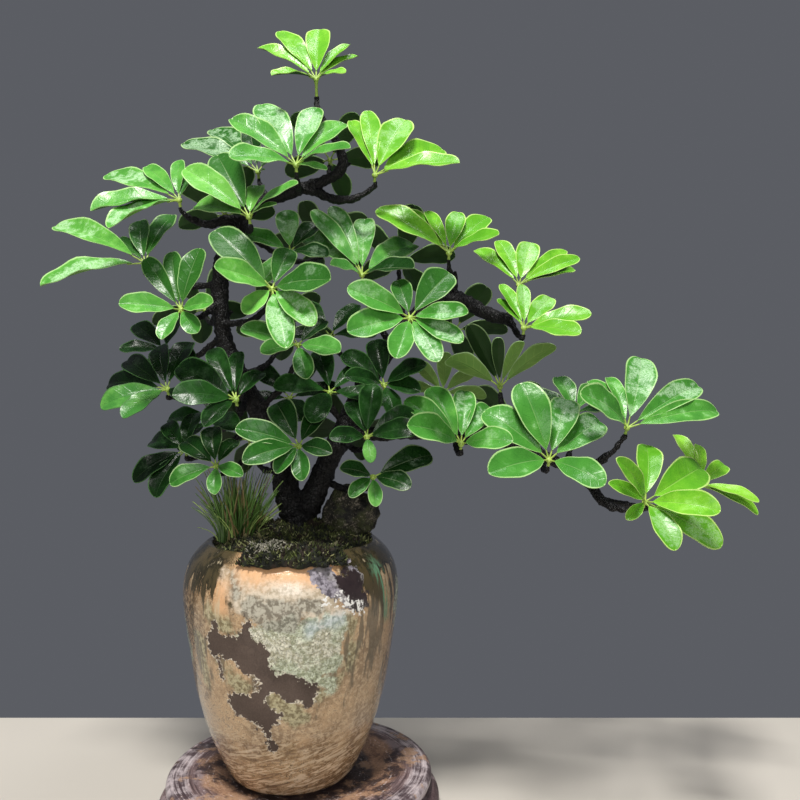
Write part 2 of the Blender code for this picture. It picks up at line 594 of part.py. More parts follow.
def leaflet(hub, tip, half, facing, mat, stations):
    """Blade that widens towards its blunt end, folded along its midrib and arched."""
    length = (tip - hub).length
    along = (tip - hub).normalized()
    up = (facing - along * facing.dot(along)).normalized()
    side = along.cross(up)
    shape = bmesh.new()
    root = shape.verts.new(along * -ROOT_DEPTH)
    sections = []
    for share, breadth in stations:
        middle = along * length * share + up * length * ARCH * share * (1 - share)
        edge = side * half * breadth
        fold = up * half * breadth * FOLD
        thick = up * LEAFLET_THICKNESS / 2
        corners = (middle + edge + fold, middle + thick, middle - edge + fold, middle - thick)
        sections.append([shape.verts.new(corner) for corner in corners])
    blunt = side * half * TIP_BREADTH
    right = shape.verts.new(along * length + blunt)
    left = shape.verts.new(along * length - blunt)
    first = sections[0]
    last = sections[-1]
    for edge, middle in ((0, 1), (2, 1), (2, 3), (0, 3)):
        shape.faces.new((root, first[edge], first[middle]))
        for low, high in zip(sections, sections[1:]):
            shape.faces.new((low[edge], low[middle], high[middle]))
            shape.faces.new((low[edge], high[middle], high[edge]))
    for middle in (1, 3):
        shape.faces.new((last[0], last[middle], right))
        shape.faces.new((last[middle], left, right))
        shape.faces.new((last[middle], last[2], left))
    return add_shape("leaflet", shape, mat, hub)


def petiole_foot(name, hub, facing):
    """Where the petiole meets its twig, behind and below the hub."""
    way = (facing + Vector((0, 0, PETIOLE_RISE))).normalized()
    length = CROWN_PETIOLE if name == "leaf_crown" else PETIOLE_LENGTH
    return hub - way * length


def build_leaf(name, tone, mat, hub, facing, ends, stations):
    """Petiole with its hub and the leaflets round it, fused."""
    foot = petiole_foot(name, hub, facing) - hub
    hub_end = facing * HUB_RADIUS * HUB_HEIGHT
    path = (foot, foot * NECK_SHARE, -hub_end, hub_end)
    radii = (PETIOLE_RADIUS, PETIOLE_RADIUS, HUB_RADIUS, HUB_RADIUS * HUB_TOP)
    leaf = rod(name, path, radii, PETIOLE_ROUNDNESS, mat, hub)
    slim = SLIM_LEAVES.get(name, 1)
    blades = []
    for end in ends:
        half = blade_breadth(hub, end, ends, tone) * slim / 2
        blades.append(leaflet(hub, end, half, facing, mat, stations))
    return combine(leaf, blades, "UNION")


def leaf_plan():
    """Every leaf's name, tone, hub, facing, tips, blade stations and twig foot."""
    rng = random.Random(SEED + 3)
    plan = []
    for name, tone, hub_at, face, twig, tips in SEEN_LEAVES:
        facing = facing_of(*face)
        ends = seen_tips(hub_at, facing, tips)
        stations = PLAIN_STATIONS if tone == "deep" else BLADE_STATIONS
        plan.append((name, tone, seen(*hub_at), facing, ends, stations, twig))
    for name, tone, hub_at, face, length, twig, count, roll in HIDDEN_LEAVES:
        facing = facing_of(*face)
        hub = seen(*hub_at)
        ends = ring_tips(hub, facing, length, count, roll, rng)
        plan.append((name, tone, hub, facing, ends, PLAIN_STATIONS, twig))
    return plan


def build_leaves(plan):
    tones = {
        "lime": finish("leaf_lime", (0.30, 0.52, 0.08), 0.35),
        "fresh": finish("leaf_fresh", (0.13, 0.40, 0.07), 0.3),
        "mid": finish("leaf_mid", (0.06, 0.24, 0.05), 0.3),
        "deep": finish("leaf_deep", (0.015, 0.07, 0.015), 0.28),
    }
    for name, tone, hub, facing, ends, stations, twig in plan:
        build_leaf(name, tone, tones[tone], hub, facing, ends, stations)


# Wood

def core_near(place):
    """Point on the boughs' centre lines that lies nearest to a place."""
    best = None
    for name, stations in BOUGHS:
        core = [seen(u, v, depth) for u, v, depth, radius in stations]
        for low, high in zip(core, core[1:]):
            share = (place - low).dot(high - low) / (high - low).length_squared
            point = low.lerp(high, min(max(share, 0), 1))
            if best is None or (point - place).length < (best - place).length:
                best = point
    return best


def twig_path(start, foot, grow):
    """From the bough's core to just short of the petiole, over a cubic curve's middle."""
    end = foot - grow * GAP
    reach = (end - start).length
    swing = start + (end - start) * TWIG_SWING - Vector((0, 0, reach * TWIG_SAG))
    bend = end - grow * reach * TWIG_BEND
    middle = (start + swing * 3 + bend * 3 + end) / 8
    return (start, middle, end - grow * TWIG_STRAIGHT, end)


def build_wood(plan):
    """Both trunks with their boughs, a twig for each leaf, and the foot in the soil."""
    mat = finish("bark", (0.018, 0.017, 0.019), 0.45)
    rng = random.Random(SEED + 4)
    wood = post("wood", TRUNK_FOOT_RADIUS, -TRUNK_FOOT_DEPTH, TRUNK_FOOT_RISE,
                TRUNK_FOOT_SIDES, mat, TRUNK_PLACE)
    parts = []
    for name, stations in BOUGHS:
        path = [seen(u, v, depth) for u, v, depth, radius in stations]
        radii = [radius * MM * rng.uniform(*BOUGH_PLAY) for u, v, depth, radius in stations]
        parts.append(rod(name, path, radii, BOUGH_ROUNDNESS, mat))
    for name, tone, hub, facing, ends, stations, twig in plan:
        foot = petiole_foot(name, hub, facing)
        path = twig_path(core_near(seen(*twig)), foot, (hub - foot).normalized())
        radii = [TWIG_RADIUS * share for share in TWIG_TAPER]
        parts.append(rod("twig", path, radii, TWIG_ROUNDNESS, mat))
    return combine(wood, parts, "UNION")


def gather(name):
    """Parents every piece to one empty at the foot of the stand."""
    root = bpy.data.objects.new(name, None)
    pieces = list(bpy.context.scene.objects)
    bpy.context.scene.collection.objects.link(root)
    for piece in pieces:
        piece.parent = root


def build():
    clear_scene()
    build_stand()
    build_jar()
    build_soil()
    build_moss()
    build_rock()
    build_grass()
    plan = leaf_plan()
    build_wood(plan)
    build_leaves(plan)
    gather("potted_plant")


build()
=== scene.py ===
"""Umbrella tree with palm-shaped leaves, in a glazed jar on a round wooden stand.

Metres, +Z up. The jar's axis is the Z axis, the stand's underside is z = 0
and the front of the plant looks along -Y.
"""

import math
import random
from collections import namedtuple
from functools import partialmethod

import bmesh
import bpy
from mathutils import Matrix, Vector


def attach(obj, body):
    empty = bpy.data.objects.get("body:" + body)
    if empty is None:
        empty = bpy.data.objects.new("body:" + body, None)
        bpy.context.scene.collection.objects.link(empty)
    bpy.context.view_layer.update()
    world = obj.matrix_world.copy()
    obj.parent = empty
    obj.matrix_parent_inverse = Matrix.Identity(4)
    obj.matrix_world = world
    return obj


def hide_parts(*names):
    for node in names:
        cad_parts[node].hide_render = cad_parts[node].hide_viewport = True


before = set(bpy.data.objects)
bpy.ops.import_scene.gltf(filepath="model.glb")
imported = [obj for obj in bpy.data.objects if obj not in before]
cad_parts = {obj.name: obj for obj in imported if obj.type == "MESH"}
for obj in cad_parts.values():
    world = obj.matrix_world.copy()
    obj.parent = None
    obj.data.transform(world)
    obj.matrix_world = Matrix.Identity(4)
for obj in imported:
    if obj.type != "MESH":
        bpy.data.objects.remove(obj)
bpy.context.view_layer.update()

MM = 0.001
WELD = 0.01 * MM
SEED = 7
SMOOTH_ANGLE = math.radians(48)

# Where the plant is looked at from, to turn places in the picture into real ones
VIEW_DISTANCE = 744 * MM
VIEW_HEIGHT = 379 * MM
VIEW_SIDE = 100 * MM
PICTURE_MIDDLE = 400
PICTURE_STEP = 0.93 * MM
LENS = 36

# Stand, radius and height from the underside's middle round the rim to the dish's middle
STAND_MIDDLE = 8 * MM
STAND_PROFILE = (
    (0, 0), (122, 0), (128, 6), (128, 16), (124, 21), (116, 24), (117, 28), (121, 31), (121, 36),
    (117.5, 40), (92, 39.5), (64, 34), (0, 34),
)

# Jar, radius and height in mm above its own foot
JAR_FOOT = 34.3 * MM
JAR_OUTSIDE = (
    (46, 0), (50, 1.5), (57.5, 8), (68, 29), (77, 52), (86.5, 86), (93.5, 128), (97.2, 156),
    (98.2, 175), (95.5, 192), (89, 205), (79, 215), (76, 216),
)
JAR_INSIDE = (
    (72, 215), (81, 203), (90, 187), (91, 156), (86.5, 124), (77, 74), (62, 30), (44, 8),
)
DRAIN = ((7, 8), (7, 4), (7, 0))

SOIL_TOP = JAR_FOOT + 206 * MM

# Grass, heights from the top of the soil
GRASS_PLACE = Vector((-50 * MM, -12 * MM, SOIL_TOP))
GOLDEN_ANGLE = math.pi * (3 - math.sqrt(5))

# Leaves
LEAFLET_BREADTH = {"lime": 0.37, "fresh": 0.42, "mid": 0.42, "deep": 0.41}
LEAST_BREADTH = 0.22
WIDEST_SHARE = 0.7
ROOM_USED = 1.05
ARCH = 0.28
PETIOLE_LENGTH = 6 * MM
CROWN_PETIOLE = 15 * MM
PETIOLE_RISE = 0.75
PETIOLE_RADIUS = 1.25 * MM
HUB_RADIUS = 2.9 * MM
LIFT = 0.22
LONGEST_SLANT = 1.03
SHORTEST_SLANT = 1.28
# Leaflets with painted shade, and ones with pale spots and painted highlights, by their place in
# the leaf
SHADED_LEAFLETS = {
    "leaf_left_front": (1, 2, 3), "leaf_far_left": (2, 3, 4), "leaf_middle_left": (0, 5, 6),
    "leaf_middle_front": (6, 7), "leaf_shoulder_left": (3,), "leaf_middle_behind": (2, 3),
    "leaf_shoulder_front": (2,), "leaf_under_middle": (4, 5), "leaf_bottom_left": (3, 4, 5),
    "leaf_bottom_middle": (4, 5, 6), "leaf_bottom_right": (0, 2, 3), "leaf_middle": (5,),
    "leaf_arm_behind": (0, 3, 4), "leaf_shoulder_back": (2, 3, 4),
}
SPOT_AND_HIGHLIGHT_LEAFLETS = {
    "leaf_far_left": (0, 1), "leaf_shoulder_left": (0, 5), "leaf_top_front": (1, 2),
    "leaf_top_right": (2,), "leaf_middle": (0, 1, 2, 3), "leaf_middle_left": (3, 4),
    "leaf_middle_front": (3, 4, 5), "leaf_arm_top": (2, 3), "leaf_arm_front": (2, 3),
    "leaf_tip_front": (4, 5), "leaf_shoulder_back": (0, 1), "leaf_right_front": (1, 2),
    "leaf_right_high": (2,), "leaf_right_low": (3, 4), "leaf_right_top": (3,),
    "leaf_right_shade": (0, 3, 4), "leaf_right_under": (0, 1, 2, 3, 4), "leaf_middle_behind": (1,),
}
# Leaflets with painted light, in leaves that are darker on the whole
LIT_LEAFLETS = {
    "leaf_low_left": (1, 2), "leaf_under_right": (1,), "leaf_bottom_right": (1,),
    "leaf_middle": (0, 1, 2, 3, 4, 6), "leaf_middle_behind": (1,),
}
LIT_TINT = 1.6
# Leaves kept to the duller greens of their tone, as painted shade
SHADED_LEAVES = {
    "leaf_middle_front": 0.25, "leaf_bottom_middle": 0.2, "leaf_crown": 0.4,
    "leaf_top_right": 0.35, "leaf_right_high": 0.35, "leaf_right_front": 0.25,
    "leaf_arm_front": 0.15, "leaf_right_low": 0.25, "leaf_arm_top": 0.35,
}
# Leaves with slimmer leaflets than others
SLIM_LEAVES = {"leaf_right_shade": 0.72, "leaf_right_under": 0.8, "leaf_crown": 0.88}
# How far the painted shade darkens the shaded leaflets of each tone
SHADE_SHARE = {"lime": 0.5, "fresh": 0.6, "mid": 0.9, "deep": 1.0}

# Leaves seen in the picture: name, tone, hub (across, down, depth in mm),
# facing (turn to the right, rise in degrees), foot of its twig on the wood
# (across, down, depth in mm), leaflet tips (across, down)
SEEN_LEAVES = (
    ("leaf_crown", "lime", (316, 79, -10), (0, 50), (317, 112, -10),
     ((259, 50), (280, 34), (320, 31.5), (349, 47), (358, 58), (346, 74), (272, 77))),
    ("leaf_top_front", "fresh", (296, 165, -55), (0, 40), (300, 190, 0),
     ((232, 121), (262, 107), (317, 110), (344, 126), (351, 150), (327, 171), (228, 159))),
    ("leaf_top_right", "lime", (375, 175, -20), (10, 45), (350, 200, -5),
     ((351, 123), (367, 113), (405, 122), (442, 152), (460, 165))),
    ("leaf_shoulder_left", "fresh", (179, 200, -28), (-15, 48), (198, 223, -5),
     ((107, 177), (147, 168), (180, 161), (191, 179), (92, 213), (110, 230))),
    ("leaf_far_left", "fresh", (145, 263, -5), (-20, 50), (207, 283, 0),
     ((57, 229), (41, 289), (120, 239), (173, 217), (141, 222))),
    ("leaf_left_front", "fresh", (181, 310, -50), (-10, 25), (214, 300, -2),
     ((119.5, 305), (147, 260), (173, 254), (201, 249), (214, 303), (198, 334), (162, 340))),
    ("leaf_shoulder_front", "fresh", (249, 217, -42), (-10, 40), (246, 224, 2),
     ((186, 171), (197, 207), (218, 157), (299, 185), (278, 205), (260, 187))),
    ("leaf_shoulder_back", "mid", (258, 172, 40), (-10, 50), (275, 195, 5),
     ((183, 145), (214, 132), (250, 130), (290, 142), (265, 170))),
    ("leaf_middle_left", "fresh", (272, 289, -68), (5, 25), (235, 322, -4),
     ((215, 232), (214, 268), (244, 315), (286, 350), (315, 327), (290, 250), (332, 281))),
    ("leaf_middle_behind", "mid", (290, 252, -14), (0, 40), (262, 262, 8),
     ((245, 235), (287, 212), (320, 225), (328, 258), (262, 285))),
    ("leaf_middle", "mid", (362, 275, -15), (0, 40), (372, 330, 12),
     ((312, 212), (303, 238), (332, 208), (365, 220), (413, 246), (414, 270), (330, 266))),
    ("leaf_middle_front", "fresh", (410, 318, -70), (0, 25), (400, 330, 12),
     ((347, 289), (347, 333), (396, 359), (438, 362), (463, 343), (469, 314), (449, 274),
      (398, 282))),
    ("leaf_under_middle", "mid", (298, 345, -35), (0, 35), (258, 410, 4),
     ((340, 353), (307, 380), (261, 354), (240, 330), (275, 312), (325, 322))),
    ("leaf_low_left", "deep", (167, 389, -12), (-10, 30), (216, 372, 6),
     ((107, 383), (101, 405), (123, 416), (126, 359), (160, 345), (190, 341), (190, 400))),
    ("leaf_low_left_back", "deep", (165, 350, 48), (-15, 40), (222, 335, 6),
     ((136, 325), (120, 350), (146, 372), (180, 318), (195, 362))),
    ("leaf_inner_left", "deep", (236, 400, -50), (-5, 30), (246, 392, 6),
     ((178, 365), (173, 393), (212, 347), (238, 350), (204, 425), (262, 372))),
    ("leaf_bottom_left", "mid", (216, 466, -48), (-5, 35), (262, 432, 2),
     ((170, 483), (215, 494), (242, 475), (237, 440), (184, 440), (212, 426))),
    ("leaf_bottom_far_left", "deep", (185, 450, 0), (-15, 30), (250, 424, 10),
     ((133, 480), (154, 497), (167, 422), (150, 440), (196, 412))),
    ("leaf_bottom_middle", "mid", (299, 446, -62), (0, 30), (288, 484, 0),
     ((236, 428), (244, 460), (276, 472), (302, 480), (331, 452), (320, 412), (276, 402))),
    ("leaf_under_right", "deep", (367, 437, -55), (0, 30), (342, 440, 4),
     ((331, 437), (371, 462), (373, 384), (352, 400), (415, 411), (418, 428))),
    ("leaf_bottom_right", "mid", (373, 477, -42), (5, 35), (326, 482, 0),
     ((341, 468), (376, 506), (432, 454), (410, 486), (350, 496))),
    ("leaf_inner_right", "deep", (384, 385, -17), (0, 30), (372, 380, 12),
     ((343, 353), (375, 339), (425, 364), (420, 390), (396, 416), (346, 376))),
    ("leaf_right_low", "fresh", (461, 444, -45), (0, 30), (455, 436, 12),
     ((406, 399), (408, 424), (430, 387), (465, 390), (490, 406), (511, 440))),
    ("leaf_right_under", "mid", (443, 393, 35), (180, 40), (425, 430, 15),
     ((414, 360), (446, 352), (476, 370), (486, 396), (404, 388))),
    ("leaf_right_shade", "mid", (500, 387, 7), (180, 40), (508, 441, 8),
     ((447, 357), (469, 324), (498, 336), (522, 340), (554, 345))),
    ("leaf_right_top", "lime", (449, 253, -15), (0, 40), (453, 285, 8),
     ((377, 211), (402, 212), (427, 213), (458, 214), (487, 219), (499, 236))),
    ("leaf_right_high", "lime", (519, 285, 12), (5, 40), (508, 318, 0),
     ((476, 252), (498, 242), (530, 244), (565, 252), (579, 259), (573, 271))),
    ("leaf_right_front", "lime", (524, 328, -35), (5, 40), (510, 322, -2),
     ((501, 286), (522, 286), (550, 299), (591, 315), (581, 335), (498, 300))),
    ("leaf_arm_front", "fresh", (549, 460, -60), (0, 30), (540, 456, 2),
     ((484, 410), (521, 382), (567, 398), (601, 420), (604, 483), (490, 472))),
    ("leaf_arm_top", "fresh", (627, 428, -20), (10, 35), (598, 463, -2),
     ((589, 379), (608, 376), (642, 356), (700, 384), (719, 409), (584, 393))),
    ("leaf_arm_behind", "mid", (575, 413, 40), (0, 50), (567, 468, 2),
     ((530, 392), (558, 376), (596, 384), (614, 410), (548, 428))),
    ("leaf_tip_front", "lime", (645, 502, -50), (5, 25), (612, 506, -24),
     ((619, 459), (647, 444), (611, 483), (627, 519), (676, 548), (722, 544), (721, 510),
      (703, 466))),
    ("leaf_tip", "lime", (698, 485, 12), (20, 40), (601, 500, -15),
     ((676, 434), (698, 443), (725, 464), (759, 500), (759, 513))),
)

# Leaves that others hide: name, tone, hub, facing, leaflet length,
# foot of its twig, number of leaflets, roll of the first one in degrees
HIDDEN_LEAVES = (
    ("leaf_dark_left", "deep", (214, 420, 52), (-30, 45), 56, (246, 400, 8), 5, 10),
    ("leaf_dark_middle", "deep", (290, 398, 52), (0, 50), 56, (262, 420, 8), 5, 30),
    ("leaf_dark_right", "deep", (330, 392, -14), (10, 45), 54, (345, 425, 8), 5, 0),
    ("leaf_dark_high", "deep", (330, 336, 62), (0, 50), 56, (382, 358, 15), 5, 20),
    ("leaf_back_crown", "fresh", (330, 160, 52), (170, 45), 60, (332, 176, -3), 5, 15),
    ("leaf_back_shoulder", "fresh", (225, 215, 72), (200, 45), 60, (226, 245, 2), 5, 0),
    ("leaf_back_high", "mid", (320, 250, 92), (180, 50), 62, (240, 230, 4), 5, 40),
    ("leaf_back_left", "mid", (205, 310, 95), (210, 40), 60, (222, 300, 4), 5, 10),
    ("leaf_back_middle", "mid", (285, 330, 105), (180, 45), 62, (240, 375, 8), 5, 25),
    ("leaf_back_right", "fresh", (400, 262, 80), (165, 45), 62, (404, 326, 15), 5, 5),
    ("leaf_back_low", "deep", (250, 440, 98), (195, 35), 58, (284, 470, 0), 5, 30),
    ("leaf_back_lower", "deep", (350, 430, 92), (170, 40), 58, (334, 450, 4), 5, 15),
    ("leaf_back_bough", "mid", (455, 330, 80), (160, 45), 60, (441, 297, 8), 5, 20),
    ("leaf_back_arm", "mid", (515, 424, 82), (170, 40), 58, (500, 441, 8), 5, 0),
)

# Boughs: stations (across, down, depth, radius in mm)
BOUGHS = (
    ((299, 524, 0, 11), (294, 512, 0, 12.5), (286, 488, 0, 11), (283, 466, 0, 10),
     (266, 425, 5, 9.5), (244, 385, 8, 9), (226, 345, 6, 8), (221, 318, 2, 7.5),
     (220, 288, 0, 7.5), (223, 258, 0, 7), (232, 236, 2, 6.5), (246, 217, 5, 6),
     (258, 203, 6, 5.5), (282, 196, 4, 5), (306, 187, 0, 5), (332, 177, -3, 4.8),
     (343, 166, -5, 4.5), (341, 152, -6, 4.2), (333, 136, -7, 4), (323, 123, -8, 4),
     (317, 110, -10, 3.8)),
    ((301, 523, 0, 10.5), (310, 502, 0, 11.5), (321, 478, 0, 11), (331, 455, 2, 10),
     (344, 428, 8, 9.5), (358, 398, 12, 9), (378, 364, 15, 8.5), (404, 330, 15, 7.5),
     (430, 303, 10, 7), (447, 297, 8, 6.5), (467, 303, 5, 6.5), (490, 315, 2, 6),
     (510, 320, 0, 5)),
    ((342, 430, 8, 7.5), (380, 434, 14, 6.5), (420, 432, 15, 6), (470, 438, 12, 5.5),
     (521, 446, 6, 5.2), (548, 458, 3, 5), (570, 470, 0, 4.8), (589, 483, -6, 4.6),
     (601, 500, -15, 4.2), (615, 508, -26, 3.6)),
    ((582, 479, -3, 4), (594, 466, -3, 3.8), (606, 458, -4, 3.5)),
    ((304, 188, 0, 4.5), (318, 193, -2, 4), (332, 199, -4, 3.8), (351, 200, -6, 3.4)),
    ((243, 222, 4, 4.5), (228, 219, 0, 4), (211, 224, -4, 3.8), (197, 222, -6, 3.4)),
    ((446, 297, 8, 5), (454, 286, 8, 4.2), (452, 272, 5, 3.8)),
)
TRUNK_PLACE = Vector((5 * MM, 0, SOIL_TOP))
TRUNK_FOOT_RADIUS = 14 * MM
TRUNK_FOOT_DEPTH = 30 * MM
TRUNK_FOOT_RISE = 27 * MM
TWIG_RADIUS = 2.6 * MM
TWIG_TAPER = (1.35, 1.1, 0.9, 0.8)
TWIG_SAG = 0.05
TWIG_SWING = 0.3
TWIG_BEND = 0.35
TWIG_STRAIGHT = 4 * MM
TWIG_GAP = 0.3 * MM


# Node trees

class Wire:
    """An output in a node tree. Sums of wires and numbers add the nodes that work them out."""

    def __init__(self, tree, socket=None):
        self.tree = tree
        self.socket = socket

    def node(self, kind, settings=None, sockets=None, output=0):
        """Adds any node: its settings first, then the values or wires of its sockets."""
        node = self.tree.nodes.new(kind)
        for key, value in (settings or {}).items():
            setattr(node, key, value)
        for key, value in (sockets or {}).items():
            socket = pick(node.inputs, key)
            for item in value if isinstance(value, list) else [value]:
                if isinstance(item, Wire):
                    self.tree.links.new(item.socket, socket)
                else:
                    socket.default_value = item
        return Wire(self.tree, pick(node.outputs, output))

    def geo(self, kind, output=0, **sockets):
        """Adds a geometry node, its sockets named with _ for a space."""
        return self.node("GeometryNode" + kind, {}, spaced(sockets), output)

    def out(self, name):
        """Another output of the same node."""
        return Wire(self.tree, pick(self.socket.node.outputs, name))

    def scalar(self, operation, *terms):
        return self.node("ShaderNodeMath", {"operation": operation}, dict(enumerate(terms)))

    def vector(self, operation, *terms, output=0):
        terms = [term if isinstance(term, (Wire, tuple)) else (term,) * 3 for term in terms]
        return self.node("ShaderNodeVectorMath", {"operation": operation},
                         dict(enumerate(terms)), output)

    def work(self, operation, *terms):
        """Vector math where a term is a vector, and plain math otherwise."""
        vectors = any(isinstance(term, tuple) or isinstance(term, Wire)
                      and term.socket.type == "VECTOR" for term in terms)
        return (self.vector if vectors else self.scalar)(operation, *terms)

    def math(self, operation, *rest):
        """Plain math with this wire as its first term."""
        return self.scalar(operation, self, *rest)

    def leading(self, operation, other):
        """Math with this wire as the first of two terms."""
        return self.work(operation, self, other)

    def trailing(self, operation, other):
        """Math with this wire as the second of two terms."""
        return self.work(operation, other, self)

    __add__ = partialmethod(leading, "ADD")
    __radd__ = partialmethod(trailing, "ADD")
    __sub__ = partialmethod(leading, "SUBTRACT")
    __rsub__ = partialmethod(trailing, "SUBTRACT")
    __mul__ = partialmethod(leading, "MULTIPLY")
    __rmul__ = partialmethod(trailing, "MULTIPLY")
    __truediv__ = partialmethod(leading, "DIVIDE")
    __pow__ = partialmethod(math, "POWER")
    sin = partialmethod(math, "SINE")
    cos = partialmethod(math, "COSINE")
    size = partialmethod(math, "ABSOLUTE")
    root = partialmethod(math, "SQRT")
    # The larger, or the smaller, of this and a limit
    over = partialmethod(math, "MAXIMUM")
    under = partialmethod(math, "MINIMUM")
    # 1 where this is more, or less, than a limit, and 0 elsewhere
    above = partialmethod(math, "GREATER_THAN")
    below = partialmethod(math, "LESS_THAN")

    def cross(self, other):
        return self.vector("CROSS_PRODUCT", self, other)

    def dot(self, other):
        return self.vector("DOT_PRODUCT", self, other, output="Value")

    def length(self):
        return self.vector("LENGTH", self, output="Value")

    def step(self, low, high):
        """Soft step from 0 at low to 1 at high."""
        return self.node("ShaderNodeMapRange", {"interpolation_type": "SMOOTHSTEP"},
                         {"Value": self, "From Min": low, "From Max": high})

    def part(self, axis):
        """One part of a vector."""
        return self.node("ShaderNodeSeparateXYZ", {}, {0: self}, axis)

    def parts(self):
        split = self.part("X")
        return split, split.out("Y"), split.out("Z")

    def join(self, x, y, z):
        return self.node("ShaderNodeCombineXYZ", {}, {"X": x, "Y": y, "Z": z})

    def noise(self, scale, detail=2.0, roughness=0.5, distortion=0.0):
        """Noise over a place, about 0 to 1 with 0.5 as its middle."""
        return self.node("ShaderNodeTexNoise", {}, {
            "Vector": self, "Scale": scale, "Detail": detail, "Roughness": roughness,
            "Distortion": distortion})

    def cells(self, scale, feature="F1"):
        return self.node("ShaderNodeTexVoronoi", {"feature": feature}, {
            "Vector": self, "Scale": scale})

    def blend(self, first, second):
        """Mixes two colours by this factor."""
        first, second = (c if isinstance(c, Wire) else (*c, 1) for c in (first, second))
        return self.node("ShaderNodeMix", {"data_type": "RGBA"},
                         {"Factor": self, "A": first, "B": second})


def pick(sockets, key):
    """The socket in use with this name, or with this place in the order."""
    used = [socket for socket in sockets if socket.enabled]
    if isinstance(key, int):
        return used[key]
    return next(socket for socket in used if socket.name == key)


def spaced(sockets):
    return {key.replace("_", " "): value for key, value in sockets.items()}


# Shapes that follow a rule

def open_tree(name, sizes):
    """Geometry tree with a named input for each size. Gives the tree, its inputs and geometry."""
    tree = bpy.data.node_groups.new(name, "GeometryNodeTree")
    for way in ("INPUT", "OUTPUT"):
        tree.interface.new_socket("Geometry", in_out=way, socket_type="NodeSocketGeometry")
    for size, value in sizes.items():
        kind = "NodeSocketInt" if isinstance(value, int) else "NodeSocketFloat"
        tree.interface.new_socket(size, in_out="INPUT", socket_type=kind)
    start = tree.nodes.new("NodeGroupInput")
    pins = {socket.name: Wire(tree, socket) for socket in start.outputs if socket.name}
    return tree, pins, pins["Geometry"]


def end_tree(tree, shape):
    end = tree.nodes.new("NodeGroupOutput")
    tree.links.new(shape.socket, end.inputs[0])
    return tree


def close_tree(tree, shape, mat, selection=True):
    """Ends a tree with plain geometry in one finish."""
    real = shape.geo("RealizeInstances", Geometry=shape)
    return end_tree(tree, real.geo("SetMaterial", Geometry=real, Selection=selection,
                                   Material=mat))


def named(pen, name, kind="FLOAT"):
    return pen.node("GeometryNodeInputNamedAttribute", {"data_type": kind}, {"Name": name},
                    "Attribute")


def stored(shape, name, value, kind="FLOAT", domain="POINT"):
    return shape.node("GeometryNodeStoreNamedAttribute", {"data_type": kind, "domain": domain},
                      {"Geometry": shape, "Name": name, "Value": value})


def moved(shape, **sockets):
    """Shape at a Position, or moved by an Offset."""
    return shape.geo("SetPosition", Geometry=shape, **sockets)


def place_of(pen):
    return pen.geo("InputPosition")


def normal_of(pen):
    return pen.geo("InputNormal", "Normal")


def random_of(pen, low, high, seed):
    """Random number, or a random vector between two tuples, for each point or copy."""
    kind = "FLOAT_VECTOR" if isinstance(low, tuple) else "FLOAT"
    return pen.node("FunctionNodeRandomValue", {"data_type": kind},
                    {"Min": low, "Max": high, "Seed": seed})


def smooth_faces(shape):
    return shape.geo("SetShadeSmooth", Geometry=shape)


def joined(*shapes):
    return shapes[0].geo("JoinGeometry", Geometry=list(shapes))


def welded(shape):
    return shape.geo("MergeByDistance", Geometry=shape, Distance=WELD)


def copies(points, instance, **sockets):
    return points.geo("InstanceOnPoints", Points=points, Instance=instance, **sockets)


def spots_on(shape, lowest, density, seed):
    """Random points on the faces whose normals have at least this upward part."""
    return shape.geo("DistributePointsOnFaces", Mesh=shape, Density=density, Seed=seed,
                     Selection=normal_of(shape).part("Z").above(lowest))


def aimed(way):
    """Rotation that turns +Z to a direction."""
    return way.node("FunctionNodeAlignRotationToVector", {"axis": "Z"}, {"Vector": way})


def turned_by(angles):
    return angles.node("FunctionNodeEulerToRotation", {}, {"Euler": angles})


def tinted(bits, seed):
    """Gives each copy a random number for its colour."""
    return stored(bits, "tint", random_of(bits, 0.0, 1.0, seed), domain="INSTANCE")


def tube(line, sides, radius):
    """Round pipe along a curve, closed at both ends."""
    ring = line.geo("CurvePrimitiveCircle", Resolution=sides, Radius=1.0)
    return line.geo("CurveToMesh", Curve=line, Profile_Curve=ring, Scale=radius, Fill_Caps=True)


def weld(mesh, outwards=False):
    """Joins doubled points, and turns every face outwards if asked."""
    shape = bmesh.new()
    shape.from_mesh(mesh)
    bmesh.ops.remove_doubles(shape, verts=shape.verts[:], dist=WELD)
    if outwards:
        bmesh.ops.recalc_face_normals(shape, faces=shape.faces[:])
    shape.to_mesh(mesh)
    shape.free()


def point_mesh(name, points, edges=(), numbers=None, ways=None):
    """Points and edges that carry named numbers and directions."""
    mesh = bpy.data.meshes.new(name)
    mesh.from_pydata([tuple(point) for point in points], edges, [])
    for key, values in (numbers or {}).items():
        mesh.attributes.new(key, "FLOAT", "POINT").data.foreach_set("value", values)
    for key, values in (ways or {}).items():
        flat = [number for value in values for number in value]
        mesh.attributes.new(key, "FLOAT_VECTOR", "POINT").data.foreach_set("vector", flat)
    return mesh


def new_object(name, data):
    obj = bpy.data.objects.new(name, data)
    bpy.context.scene.collection.objects.link(obj)
    return obj


def grow(name, mesh, *steps):
    """Runs geometry trees, or a skin of one voxel size, and keeps the result as a plain mesh."""
    base = new_object(name + "_base", mesh)
    for tree, sizes in steps:
        if tree == "skin":
            skin = base.modifiers.new("skin", "REMESH")
            skin.mode = "VOXEL"
            skin.voxel_size = sizes
            continue
        step = base.modifiers.new(tree.name, "NODES")
        step.node_group = tree
        for item in tree.interface.items_tree:
            if item.in_out == "INPUT" and item.name in sizes:
                step[item.identifier] = sizes[item.name]
    deps = bpy.context.evaluated_depsgraph_get()
    grown = bpy.data.meshes.new_from_object(base.evaluated_get(deps),
                                            preserve_all_data_layers=True, depsgraph=deps)
    bpy.data.objects.remove(base, do_unlink=True)
    grown.name = name
    return new_object(name, grown)


